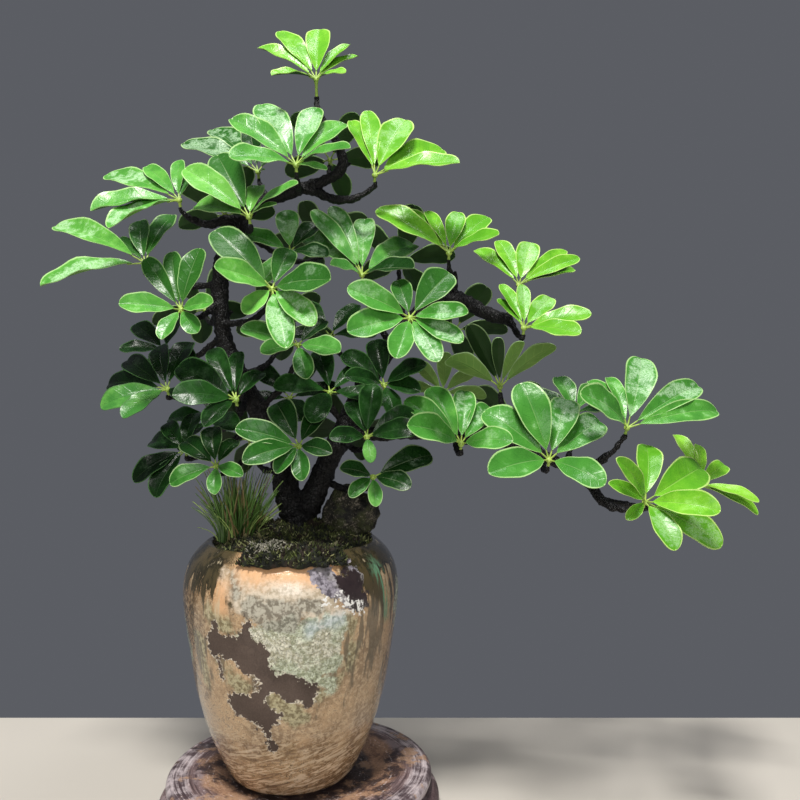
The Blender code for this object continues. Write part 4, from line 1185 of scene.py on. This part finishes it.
def leaflet_blades(blades, pin):
    """Bends the blanks by the numbers and directions of their roots."""
    across, row, level = named(blades, "plan", "FLOAT_VECTOR").parts()
    long, half, notch, phase, fold, twist = (
        named(blades, key) for key in ("long", "half", "notch", "phase", "fold", "twist"))
    hub, way, up = (named(blades, key, "FLOAT_VECTOR") for key in ("hub", "along", "up"))
    side = way.cross(up)
    turn = (row ** ROW_SPREAD) * math.pi
    lifted = (turn * 0.5).sin()
    widest = (BASE_NARROWING + 1) / (BASE_NARROWING + 2)
    peak = 2 * widest ** ((BASE_NARROWING + 1) / 2) * math.sqrt(1 - widest)
    breadth = turn.sin() * (lifted ** BASE_NARROWING) / peak
    ahead = lifted * lifted - notch * (lifted ** NOTCH_SHARPNESS)
    middle = ahead - pin["Sweep"] * turn.sin() * lifted * lifted
    reach = (middle + (ahead - middle) * across.size()) * (1 - BLADE_START) + BLADE_START
    crease = (across * across + CREASE ** 2).root() - CREASE
    wave = (reach * (WAVES * 2 * math.pi) + phase).sin()
    groove = 1 - across.size().step(0.0, RIB_BREADTH)
    height = (reach * (1 - reach) * ARCH * long
              + fold * half * breadth * crease
              - pin["Droop"] * long * ((reach - DROOP_START).over(0.0) ** 2) * 6
              + half * WAVE_HEIGHT * breadth * across * across * wave
              + twist * half * breadth * across * reach
              - pin["Rib groove"] * groove * breadth.under(1.0))
    spot = (hub + way * (long * reach) + side * (half * breadth * across)
            + up * (height + level * pin["Thickness"]))
    blades = moved(blades, Position=spot)
    plan = blades.join(across * 0.5 + 0.5, row, 0.0)
    return welded(stored(blades, "UVMap", plan, "FLOAT2", "CORNER"))


def leaflet_stems(pin, long, roots, stalk):
    """Short stalks of the leaflets, and the petiole with its hub."""
    base = pin["Geometry"]
    rod = base.geo("MeshCone", Vertices=pin["Stalk sides"], Depth=1.0,
                   Radius_Top=pin["Stalk radius"] * 0.7, Radius_Bottom=pin["Stalk radius"])
    along, up = (named(base, key, "FLOAT_VECTOR") for key in ("along", "up"))
    rods = copies(base, rod, Selection=roots, Rotation=aimed(along + up * (ARCH * 0.7)),
                  Scale=base.join(1.0, 1.0, long * pin["Stalk share"]))
    line = base.geo("MeshToCurve", Mesh=base, Selection=long.below(WELD))
    stems = joined(rods, tube(line, PETIOLE_SIDES, named(line, "thick")))
    stems = stems.geo("RealizeInstances", Geometry=stems)
    stems = stored(stems, "stem", 1.0, domain="FACE")
    return stems.geo("SetMaterial", Geometry=stems, Material=stalk)


def leaflet_tree(mat, stalk):
    """Leaflets, their short stalks and the petiole with its hub.

    Each point of the base with a length is one leaflet's root and carries its directions and
    temper. Points with a thickness are a line along the petiole.
    """
    tree, pin, base = open_tree("leaflets_" + mat.name, LEAFLET_SIZES)
    long = named(base, "long")
    roots = long.above(0.0)
    blades = copies(base, leaflet_blank(pin), Selection=roots)
    blades = leaflet_blades(blades.geo("RealizeInstances", Geometry=blades), pin)
    whole = smooth_faces(joined(blades, leaflet_stems(pin, long, roots, stalk)))
    return close_tree(tree, whole, mat, named(whole, "stem").below(0.5))


def leaflet_numbers(leaf, i, leaf_tint, rng):
    """Size and temper of one leaflet."""
    tip = leaf.tips[i]
    dark, pale, lit = (i in table.get(leaf.name, ())
                       for table in (SHADED_LEAFLETS, SPOT_AND_HIGHLIGHT_LEAFLETS, LIT_LEAFLETS))
    numbers = {
        "long": (tip - leaf.hub).length * rng.uniform(*LENGTH_PLAY),
        "half": (blade_breadth(leaf, tip) / 2 * SLIM_LEAVES.get(leaf.name, 1)
                 * rng.uniform(*BREADTH_PLAY)),
        "notch": rng.choice(NOTCHES),
        "phase": rng.uniform(0, 2 * math.pi),
        "fold": rng.uniform(*FOLD),
        "twist": rng.uniform(*TWIST),
        # A cap on the tint paints shade over some leaves
        "tint": min(max(leaf_tint + rng.uniform(*TINT_PLAY), 0), SHADED_LEAVES.get(leaf.name, 1)),
        "pale": rng.uniform(*(SPOT_AND_HIGHLIGHT_RANGE if pale else PLAIN_SHARE)),
    }
    # Painted shade on shaded leaflets and painted light on lit ones, through the tint
    if dark:
        numbers["tint"] = -SHADE_SHARE[leaf.tone]
    elif lit:
        numbers["tint"] = LIT_TINT
    return numbers


def petiole_path(leaf):
    """Line along the petiole and through the hub, with its radius."""
    hub, rise = leaf.hub, leaf.facing * HUB_RADIUS
    foot = petiole_foot(leaf)
    return curve_through([(*spot, size) for spot, size in (
        (foot, PETIOLE_RADIUS * 1.25), (foot.lerp(hub, 0.5), PETIOLE_RADIUS),
        (hub - rise * 0.7, HUB_RADIUS * 0.7), (hub, HUB_RADIUS),
        (hub + rise * 0.55, HUB_RADIUS * 0.55))], 4)


def grow_leaf(tree, leaf, rng):
    """One palm-shaped leaf."""
    leaf_tint = rng.uniform(*LEAF_TINT)
    rows = [leaflet_numbers(leaf, i, leaf_tint, rng) for i in range(len(leaf.tips))]
    count = len(rows)
    path = petiole_path(leaf)
    numbers = {key: [row[key] for row in rows] + [0.0] * len(path) for key in rows[0]}
    numbers["thick"] = [0.0] * count + [size for *_, size in path]
    along = [(tip - leaf.hub).normalized() for tip in leaf.tips]
    up = [(leaf.facing - way * leaf.facing.dot(way)).normalized() for way in along]
    ways = {key: values + [(0, 0, 1)] * len(path) for key, values in (
        ("along", along), ("up", up), ("hub", [leaf.hub] * count))}
    points = [leaf.hub] * count + [spot for *spot, _ in path]
    edges = [(i, i + 1) for i in range(count, len(points) - 1)]
    mesh = point_mesh(leaf.name, points, edges, numbers, ways)
    droop = FLAT_DROOP if leaf.hub.z > FLAT_TIPS_ABOVE else LEAFLET_SIZES["Droop"]
    return grow("fine_" + leaf.name, mesh, (tree, {**LEAFLET_SIZES, "Droop": droop}))


def build_leaves(plan):
    stalk = stalk_finish()
    trees = {tone: leaflet_tree(leaf_finish(tone), stalk) for tone in LEAF_TONES}
    rng = random.Random(SEED + 5)
    for leaf in plan:
        settle(grow_leaf(trees[leaf.tone], leaf, rng), "leaf_" + leaf.tone, leaf.name)


# Wood

WOOD_SIZES = {
    "Sides": 14, "Step": 1.6 * MM, "Scar spacing": 9 * MM, "Scar height": 0.10,
    "Swell": 0.16, "Swell size": 60.0,
}
SKIN_VOXEL = 1.27 * MM
KNOB_SIZES = {"Knob": 5.2 * MM, "Knob size": 130.0, "Ridge": 2.4 * MM, "Ridge size": 420.0}
BOUGH_STEPS = 5
BOUGH_PLAY = (0.93, 1.1)
TWIG_STEPS = 6
TWIG_SLIMNESS = 0.92
STUBS = 34
# Boughs that the stubs are drawn from, the thicker ones more often
STUB_BOUGHS = (0, 0, 0, 1, 1, 2)
STUB_RISE = (-0.2, 0.8)
STUB_LENGTH = (5 * MM, 9 * MM)
STUB_SHORTNESS = 0.6
STUB_RADIUS = 1.7 * MM
STUB_STEPS = 2


def bough_tree(mat):
    """Round boughs along the lines of the base, with ring scars and swellings."""
    tree, pin, base = open_tree("boughs", WOOD_SIZES)
    line = base.geo("MeshToCurve", Mesh=base)
    line = line.node("GeometryNodeResampleCurve", {"mode": "LENGTH"}, {
        "Curve": line, "Length": pin["Step"]})
    length = line.geo("SplineParameter", "Length")
    place = place_of(line)
    scars = length / pin["Scar spacing"] + place.noise(35, 1) * 3.0
    ring = (scars * (2 * math.pi)).sin().over(0.0) ** 3
    swell = (place.noise(pin["Swell size"], 2) - 0.5) * 2 * pin["Swell"]
    radius = named(line, "thick") * (1 + ring * pin["Scar height"] + swell)
    return close_tree(tree, tube(line, pin["Sides"], radius), mat)


def knob_tree(mat):
    """Knobs and ridges that stand out of a skin."""
    tree, pin, shape = open_tree("knobs", KNOB_SIZES)
    place = place_of(shape)
    rise = ((place.noise(pin["Knob size"], 3, 0.6) - 0.5) * pin["Knob"]
            + (place.noise(pin["Ridge size"], 3, 0.6) - 0.5) * pin["Ridge"])
    shape = moved(shape, Offset=normal_of(shape) * rise)
    return close_tree(tree, smooth_faces(shape), mat)


def wood_lines(plan):
    """Each line of wood: its stations with their radii, and the steps between two of them."""
    rng = random.Random(SEED + 4)
    for stations in BOUGHS:
        yield [(*seen(u, v, depth), radius * MM * rng.uniform(*BOUGH_PLAY))
               for u, v, depth, radius in stations], BOUGH_STEPS
    for leaf in plan:
        foot = petiole_foot(leaf)
        path = twig_path(core_near(seen(*leaf.twig)), foot, (leaf.hub - foot).normalized())
        yield [(*spot, TWIG_RADIUS * share * TWIG_SLIMNESS)
               for spot, share in zip(path, TWIG_TAPER)], TWIG_STEPS
    low = TRUNK_PLACE - Vector((0, 0, TRUNK_FOOT_DEPTH))
    high = TRUNK_PLACE + Vector((0, 0, TRUNK_FOOT_RISE))
    yield [(*low, TRUNK_FOOT_RADIUS), (*low.lerp(high, 0.5), TRUNK_FOOT_RADIUS),
           (*high, TRUNK_FOOT_RADIUS * 0.9)], TWIG_STEPS
    rng = random.Random(SEED + 6)
    for _ in range(STUBS):
        stations = BOUGHS[rng.choice(STUB_BOUGHS)]
        u, v, depth, radius = rng.choice(stations[3:-2])
        turn = rng.uniform(0, 2 * math.pi)
        way = Vector((math.cos(turn), math.sin(turn), rng.uniform(*STUB_RISE))).normalized()
        start = seen(u, v, depth) + way * radius * 0.5 * MM
        end = start + way * (radius * 0.5 * MM + rng.uniform(*STUB_LENGTH) * STUB_SHORTNESS)
        yield [(*start, STUB_RADIUS * 1.3), (*start.lerp(end, 0.5), STUB_RADIUS),
               (*end, STUB_RADIUS * 0.8)], STUB_STEPS


def build_wood(plan):
    """Both trunks with their boughs and a twig for each leaf, under one bark."""
    mat = bark_finish()
    points, edges, thick = [], [], []
    for stations, steps in wood_lines(plan):
        first = len(points)
        for *spot, size in curve_through(stations, steps):
            points.append(spot)
            thick.append(size)
        edges += [(i, i + 1) for i in range(first, len(points) - 1)]
    base = point_mesh("wood", points, edges, {"thick": thick})
    piece = grow("trunks_and_twigs", base, (bough_tree(mat), WOOD_SIZES), ("skin", SKIN_VOXEL),
                 (knob_tree(mat), KNOB_SIZES))
    settle(piece, "bark", "wood")


# Turned pieces

TURNED_SIZES = {
    "Sides": 240, "Bare depth": 0.0, "Wobble": 0.8 * MM, "Wobble size": 14.0, "Line depth": 0.0,
    "Line pitch": 5 * MM, "Line top": 0.1, "Middle": 0.0,
}
JAR_SIZES = {**TURNED_SIZES, "Sides": 340, "Bare depth": 0.45 * MM, "Line depth": 0.25 * MM,
             "Line top": JAR_FOOT + 95 * MM}
STAND_SIZES = {**TURNED_SIZES, "Middle": STAND_MIDDLE, "Wobble": 0.5 * MM}
# Nearer to the axis than this, the surface wobbles less
CALM_RADIUS = 20 * MM
CORNER_SHARE = 0.45


def turned_tree(mat, zones=None):
    """Surface turned round the upright axis from a line of points (radius, 0, height).

    Points with a skin of 1 are outside, where the bare places lie a little deeper.
    """
    tree, pin, line = open_tree("turned_" + mat.name, TURNED_SIZES)
    count = line.geo("AttributeDomainSize", "Point Count", Geometry=line)
    grid = line.geo("MeshGrid", Size_X=1.0, Size_Y=1.0, Vertices_X=pin["Sides"] + 1,
                    Vertices_Y=count)
    x, y, _ = place_of(grid).parts()
    index = ((y + 0.5) * (count - 1)).math("ROUND")

    def on_line(value, kind="FLOAT"):
        return line.node("GeometryNodeSampleIndex", {"data_type": kind}, {
            "Geometry": line, "Value": value, "Index": index}, "Value")

    radius, _, height = on_line(place_of(line), "FLOAT_VECTOR").parts()
    turn = x * (2 * math.pi)
    place = grid.join(turn.cos() * radius, turn.sin() * radius, height)
    wobble = (place.noise(pin["Wobble size"], 2) - 0.5) * pin["Wobble"]
    lines = ((height / pin["Line pitch"] + place.noise(8, 1)) * (2 * math.pi)).sin()
    lines = lines * pin["Line depth"] * (1 - height.step(pin["Line top"] * 0.6, pin["Line top"]))
    out = radius + (wobble + lines) * (radius / CALM_RADIUS).under(1.0)
    shape = grid
    if zones:
        found = zones(place)
        sunk = ragged(found["bare"], place).step(0.6, -0.6)
        out = out - sunk * on_line(named(line, "skin")) * pin["Bare depth"]
        for key, near in found.items():
            shape = stored(shape, key, near)
    spot = grid.join(turn.cos() * out + pin["Middle"], turn.sin() * out, height)
    return close_tree(tree, smooth_faces(welded(moved(shape, Position=spot))), mat)


def turned_line(profile, lift=0.0, closed=False, outer=0):
    """Base of a turned piece, from (radius, height) in metres. The first points are outside."""
    points = [(radius, 0, height + lift) for radius, height in profile]
    if closed:
        points.append(points[0])
    skin = [1.0 if i < outer else 0.0 for i in range(len(points))]
    return point_mesh("profile", points, numbers={"skin": skin})


def rounded(profile, size, steps):
    """Profile with its corners rounded off."""
    result = [profile[0]]
    for before, corner, after in zip(profile, profile[1:], profile[2:]):
        corner = Vector(corner)
        low, high = (Vector(end) - corner for end in (before, after))
        start, end = (corner + way.normalized() * min(size, way.length * CORNER_SHARE)
                      for way in (low, high))
        for k in range(steps + 1):
            t = k / steps
            result.append(tuple(start * (1 - t) ** 2 + corner * 2 * t * (1 - t) + end * t ** 2))
    result.append(profile[-1])
    return result


def build_turned(name, line, tree, sizes, slot_name, node):
    piece = grow(name, line, (tree, sizes))
    weld(piece.data, outwards=True)
    settle(piece, slot_name, node)


def filled(profile, longest):
    """Profile with points added where two lie far apart."""
    result = [profile[0]]
    for low, high in zip(profile, profile[1:]):
        count = max(int(math.dist(low, high) / longest), 1)
        result += [tuple(Vector(low).lerp(Vector(high), k / count)) for k in range(1, count + 1)]
    return result


def scaled(profile):
    return [(radius * MM, height * MM) for radius, height in profile]


def build_jar():
    outside = curve_through(scaled(JAR_OUTSIDE), 8)
    inside = curve_through(scaled(JAR_INSIDE), 4)
    line = turned_line(outside + inside + scaled(DRAIN), JAR_FOOT, closed=True, outer=len(outside))
    build_turned("glazed_jar", line, turned_tree(jar_finish(), jar_zones), JAR_SIZES,
                 "jar_glaze", "jar")


def build_stand():
    line = turned_line(filled(rounded(scaled(STAND_PROFILE), 2 * MM, 4), 4 * MM))
    build_turned("turned_stand", line, turned_tree(stand_finish()), STAND_SIZES,
                 "stand_wood", "stand")


# Filling of the jar

CLUMP_SIZES = {"Clumps per area": 5200.0, "Smallest": 2.5 * MM, "Largest": 6.5 * MM, "Seed": 8}
CUSHION_SIZES = {"Lump": 8.0 * MM, "Lump size": 70.0, "Hollow": 8.0 * MM, "Hollow size": 34.0}
CUSHION_VOXEL = 1.5 * MM
MOSS_SIZES = {"Shoots per area": 260000.0, "Shoot height": 3.4 * MM, "Shoot radius": 0.8 * MM,
              "Seed": 3}
STREWN_SIZES = {"Per area": 9000.0, "Near patch": 0.0, "Patch across": 0.0, "Patch ahead": 0.0,
                "Patch radius": 15 * MM, "Size": 0.9 * MM, "Long": 1.5, "Flat": 0.8,
                "Rise": 1.0 * MM, "Seed": 5}
LICHEN_SIZES = {
    **STREWN_SIZES, "Per area": 0.0, "Near patch": 330000.0, "Patch across": -10 * MM,
    "Patch ahead": -74 * MM, "Patch radius": 22 * MM, "Size": 0.6 * MM, "Long": 3.2, "Flat": 0.9,
    "Rise": 1.6 * MM, "Seed": 9,
}
LITTER_SIZES = {
    **STREWN_SIZES, "Per area": 2600.0, "Near patch": 22000.0, "Patch across": -34 * MM,
    "Patch ahead": -50 * MM, "Patch radius": 26 * MM, "Size": 1.5 * MM, "Long": 2.6, "Flat": 0.35,
    "Rise": 2.0 * MM, "Seed": 12,
}
# Loose bits on the moss: name, sizes, darkest and palest colour
STREWN_BITS = (
    ("moss_crumbs", STREWN_SIZES, (0.05, 0.038, 0.02), (0.27, 0.25, 0.16)),
    ("pale_lichen", LICHEN_SIZES, (0.045, 0.042, 0.028), (0.38, 0.36, 0.29)),
    ("leaf_litter", LITTER_SIZES, (0.012, 0.010, 0.004), (0.20, 0.19, 0.08)),
)
ROCK_SIZES = {"Crag": 9 * MM, "Crag size": 36.0, "Chip": 4.0 * MM, "Chip size": 150.0}
ROCK_WANDER = 0.012
GRASS_SIZES = {"Blades": 330, "Spread": 18 * MM, "Lowest": 0.45, "Seed": 4}
# The spiral's middle from the tuft's hole, across, ahead and up
GRASS_SHIFT = (3 * MM, -5 * MM, 12 * MM)
BLADE_STEPS = 8
BLADE_HALF = 0.95 * MM
BLADE_TIP = 0.06 * MM
BLADE_BEND = 13 * MM
BLADE_HEIGHT = 62 * MM


def clump_tree():
    """Round clumps set over the cushion, which break its even edge."""
    tree, pin, shape = open_tree("clumps", CLUMP_SIZES)
    spots = spots_on(shape, -0.3, pin["Clumps per area"], pin["Seed"])
    ball = shape.geo("MeshIcoSphere", Radius=1.0, Subdivisions=2)
    size = random_of(spots, 0.0, 1.0, pin["Seed"] + 1) ** 2
    size = pin["Smallest"] + size * (pin["Largest"] - pin["Smallest"])
    whole = joined(shape, copies(spots, ball, Scale=spots.join(size, size, size * 0.75)))
    return end_tree(tree, whole.geo("RealizeInstances", Geometry=whole))


def cushion_tree():
    """Lumps and hollows in the skin of the cushion."""
    tree, pin, shape = open_tree("cushion", CUSHION_SIZES)
    place = place_of(shape)
    lump = (place.noise(pin["Lump size"], 3, 0.6) - 0.5) * pin["Lump"]
    hollow = (place.noise(pin["Hollow size"], 2, 0.5) - 0.55) * pin["Hollow"]
    return end_tree(tree, moved(shape, Offset=normal_of(shape) * (lump + hollow)))


def moss_tree(mat):
    """Cushion covered with short leaning shoots."""
    tree, pin, shape = open_tree("moss", MOSS_SIZES)
    seed = pin["Seed"]
    spots = spots_on(shape, -0.2, pin["Shoots per area"], seed)
    shoot = shape.geo("MeshCone", Vertices=4, Radius_Top=pin["Shoot radius"] * 0.25,
                      Radius_Bottom=pin["Shoot radius"], Depth=pin["Shoot height"])
    lean = random_of(spots, (-0.9, -0.9, -0.1), (0.9, 0.9, 0.9), seed + 1)
    shoots = copies(spots, shoot, Rotation=aimed(spots.out("Normal") + lean),
                    Scale=random_of(spots, 0.4, 1.2, seed + 2))
    return close_tree(tree, joined(smooth_faces(shape), tinted(shoots, seed + 3)), mat)


def strewn_tree(mat):
    """Loose bits on top of a base, closer together near one patch."""
    tree, pin, shape = open_tree("strewn_" + mat.name, STREWN_SIZES)
    seed = pin["Seed"]
    away = place_of(shape) - shape.join(pin["Patch across"], pin["Patch ahead"], 0.0)
    away = (away * (1.0, 1.0, 0.0)).length() / pin["Patch radius"]
    density = pin["Per area"] + (1 - away.step(0.3, 1.0)) * pin["Near patch"]
    spots = spots_on(shape, 0.0, density, seed)
    bit = shape.geo("MeshIcoSphere", Radius=pin["Size"], Subdivisions=1)
    size = random_of(spots, 0.5, 1.25, seed + 1)
    spin = random_of(spots, (-1.2, -1.2, 0.0), (1.2, 1.2, 6.3), seed + 2)
    bits = copies(spots, bit, Rotation=turned_by(spin),
                  Scale=spots.join(size * pin["Long"], size, size * pin["Flat"]))
    bits = moved(bits, Offset=bits.join(0.0, 0.0, pin["Rise"]))
    return close_tree(tree, tinted(bits, seed + 3), mat)


def rock_tree(mat):
    """Rough rock of rounded blocks with creases between them."""
    tree, pin, base = open_tree("rock", ROCK_SIZES)
    shape = base.geo("SubdivisionSurface", Mesh=base, Level=4)
    place = place_of(shape)
    shift = shape.join(place.noise(60, 2), place.noise(75, 2), 0.5) - 0.5
    block = 0.42 - (place + shift * ROCK_WANDER).cells(pin["Crag size"])
    crease = (place.noise(48, 4) - 0.5).size() * 1.6 - 0.2
    chip = place.noise(pin["Chip size"], 5, 0.7) - 0.5
    rise = (block + crease) * pin["Crag"] + chip * pin["Chip"]
    return close_tree(tree, smooth_faces(moved(shape, Offset=normal_of(shape) * rise)), mat)


def grass_tree(mat):
    """Tuft of copies of the base blade, set in a sunflower spiral and leaning outwards."""
    tree, pin, blade = open_tree("grass", GRASS_SIZES)
    seed = pin["Seed"]
    index = blade.geo("InputIndex")
    out = ((index + 0.5) / pin["Blades"]).root()
    turn = index * GOLDEN_ANGLE
    spot = blade.join(turn.cos() * out * pin["Spread"] + GRASS_PLACE.x + GRASS_SHIFT[0],
                      turn.sin() * out * pin["Spread"] * 1.2 + GRASS_PLACE.y + GRASS_SHIFT[1],
                      GRASS_PLACE.z + GRASS_SHIFT[2])
    spots = blade.geo("Points", Count=pin["Blades"], Position=spot)
    tint = random_of(spots, 0.0, 1.0, seed + 4)
    young = tint.step(0.86, 0.87)
    spots = stored(spots, "tint", tint)
    tilt = blade.join(random_of(spots, -0.14, 0.14, seed),
                      out * 0.08 + random_of(spots, -0.2, 0.16, seed + 1) + young * 0.12,
                      turn + random_of(spots, -0.9, 0.9, seed + 2))
    high = (1.12 - out * 0.2) * random_of(spots, pin["Lowest"], 1.08, seed + 3)
    blades = copies(spots, blade, Rotation=turned_by(tilt),
                    Scale=spots.join(0.4 + out * 1.0, 1.0, high * (1 - young * 0.35)))
    return close_tree(tree, smooth_faces(blades), mat)


def blade_mesh():
    """One blade that bends along +X, with a shallow keel."""
    shape = bmesh.new()
    rows = []
    for i in range(BLADE_STEPS + 1):
        t = i / BLADE_STEPS
        half = BLADE_HALF * (1 - t ** 2.2) * (0.7 + 0.3 * min(t * 4, 1)) + BLADE_TIP
        rows.append([shape.verts.new((BLADE_BEND * t ** 2 + x * MM, y, BLADE_HEIGHT * t))
                     for x, y in ((0.25, -half), (0, 0), (0.25, half), (0.65, 0))])
    for low, high in zip(rows, rows[1:]):
        for k in range(4):
            shape.faces.new((low[k], low[(k + 1) % 4], high[(k + 1) % 4], high[k]))
    shape.faces.new(rows[0])
    shape.faces.new(rows[-1])
    bmesh.ops.recalc_face_normals(shape, faces=shape.faces[:])
    mesh = bpy.data.meshes.new("blade")
    shape.to_mesh(mesh)
    shape.free()
    return mesh


def build_filling():
    """Soil, moss with its loose bits, rock and grass."""
    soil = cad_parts["soil"]
    soil.data.materials.clear()
    soil.data.materials.append(soil_finish())
    lumpy = grow("lumpy", merged_copy("moss"), (clump_tree(), CLUMP_SIZES),
                 ("skin", CUSHION_VOXEL), (cushion_tree(), CUSHION_SIZES))
    cushion = lumpy.data
    bpy.data.objects.remove(lumpy, do_unlink=True)
    moss = grow("moss_cushion", cushion, (moss_tree(moss_finish()), MOSS_SIZES))
    settle(moss, "moss", "moss")
    for name, sizes, dark, pale in STREWN_BITS:
        bits = grow(name, cushion, (strewn_tree(crumb_finish(name, dark, pale)), sizes))
        settle(bits, "moss")
    rock = grow("rough_rock", merged_copy("rock"), (rock_tree(rock_finish()), ROCK_SIZES))
    weld(rock.data, outwards=True)
    settle(rock, "rock", "rock")
    grass = grow("grass_tuft", blade_mesh(), (grass_tree(grass_finish()), GRASS_SIZES))
    settle(grass, "grass", "grass")


# Floor, light and camera

FLOOR_CORNERS = ((-1.6, -1.2, 0), (1.8, -1.2, 0), (1.8, 0.21, 0), (-1.6, 0.21, 0))
FLOOR_COLOUR = (0.62, 0.58, 0.52, 1)
BACKDROP_COLOUR = (0.105, 0.11, 0.125, 1)
PLANT_MIDDLE = (0.05, 0, 0.4)
# Name, place, what it shines at, breadth and height, watts, colour
LIGHTS = (
    ("key", (-0.2, -0.95, 2.5), PLANT_MIDDLE, (0.45, 0.45), 70, (1, 0.98, 0.94)),
    ("top", (0.35, 0.0, 2.4), PLANT_MIDDLE, (0.6, 0.5), 12, (1, 1, 1)),
    ("fill", (0.2, -1.9, 0.9), (0, 0, 0.15), (0.8, 0.8), 10, (1, 0.98, 0.95)),
)


def build_stage():
    mesh = bpy.data.meshes.new("floor")
    mesh.from_pydata(FLOOR_CORNERS, [], [(0, 1, 2, 3)])
    floor = new_object("floor", mesh)
    mat, shader, _ = new_finish("floor")
    feed(shader, Base_Color=FLOOR_COLOUR, Roughness=0.55)
    floor.data.materials.append(mat)


def add_light(name, place, aim, size, power, colour):
    lamp = bpy.data.lights.new(name, "AREA")
    lamp.shape = "RECTANGLE"
    lamp.size, lamp.size_y = size
    lamp.energy = power
    lamp.color = colour
    obj = new_object(name, lamp)
    obj.location = place
    obj.rotation_euler = (Vector(aim) - Vector(place)).to_track_quat("-Z", "Y").to_euler()


def build_view():
    """Backdrop, lights and camera."""
    scene = bpy.context.scene
    scene.world = bpy.data.worlds.new("studio")
    scene.world.use_nodes = True
    back = scene.world.node_tree.nodes["Background"]
    back.inputs["Color"].default_value = BACKDROP_COLOUR
    back.inputs["Strength"].default_value = 1.0
    for light in LIGHTS:
        add_light(*light)
    scene.view_settings.view_transform = "Standard"
    camera = bpy.data.cameras.new("view")
    camera.lens = LENS
    camera.sensor_width = LENS
    holder = new_object("view", camera)
    holder.location = (VIEW_SIDE, -VIEW_DISTANCE, VIEW_HEIGHT)
    holder.rotation_euler = (math.pi / 2, 0, 0)
    scene.camera = holder


def build():
    plan = leaf_plan()
    build_stand()
    build_jar()
    build_filling()
    build_wood(plan)
    build_leaves(plan)
    build_stage()
    build_view()


build()
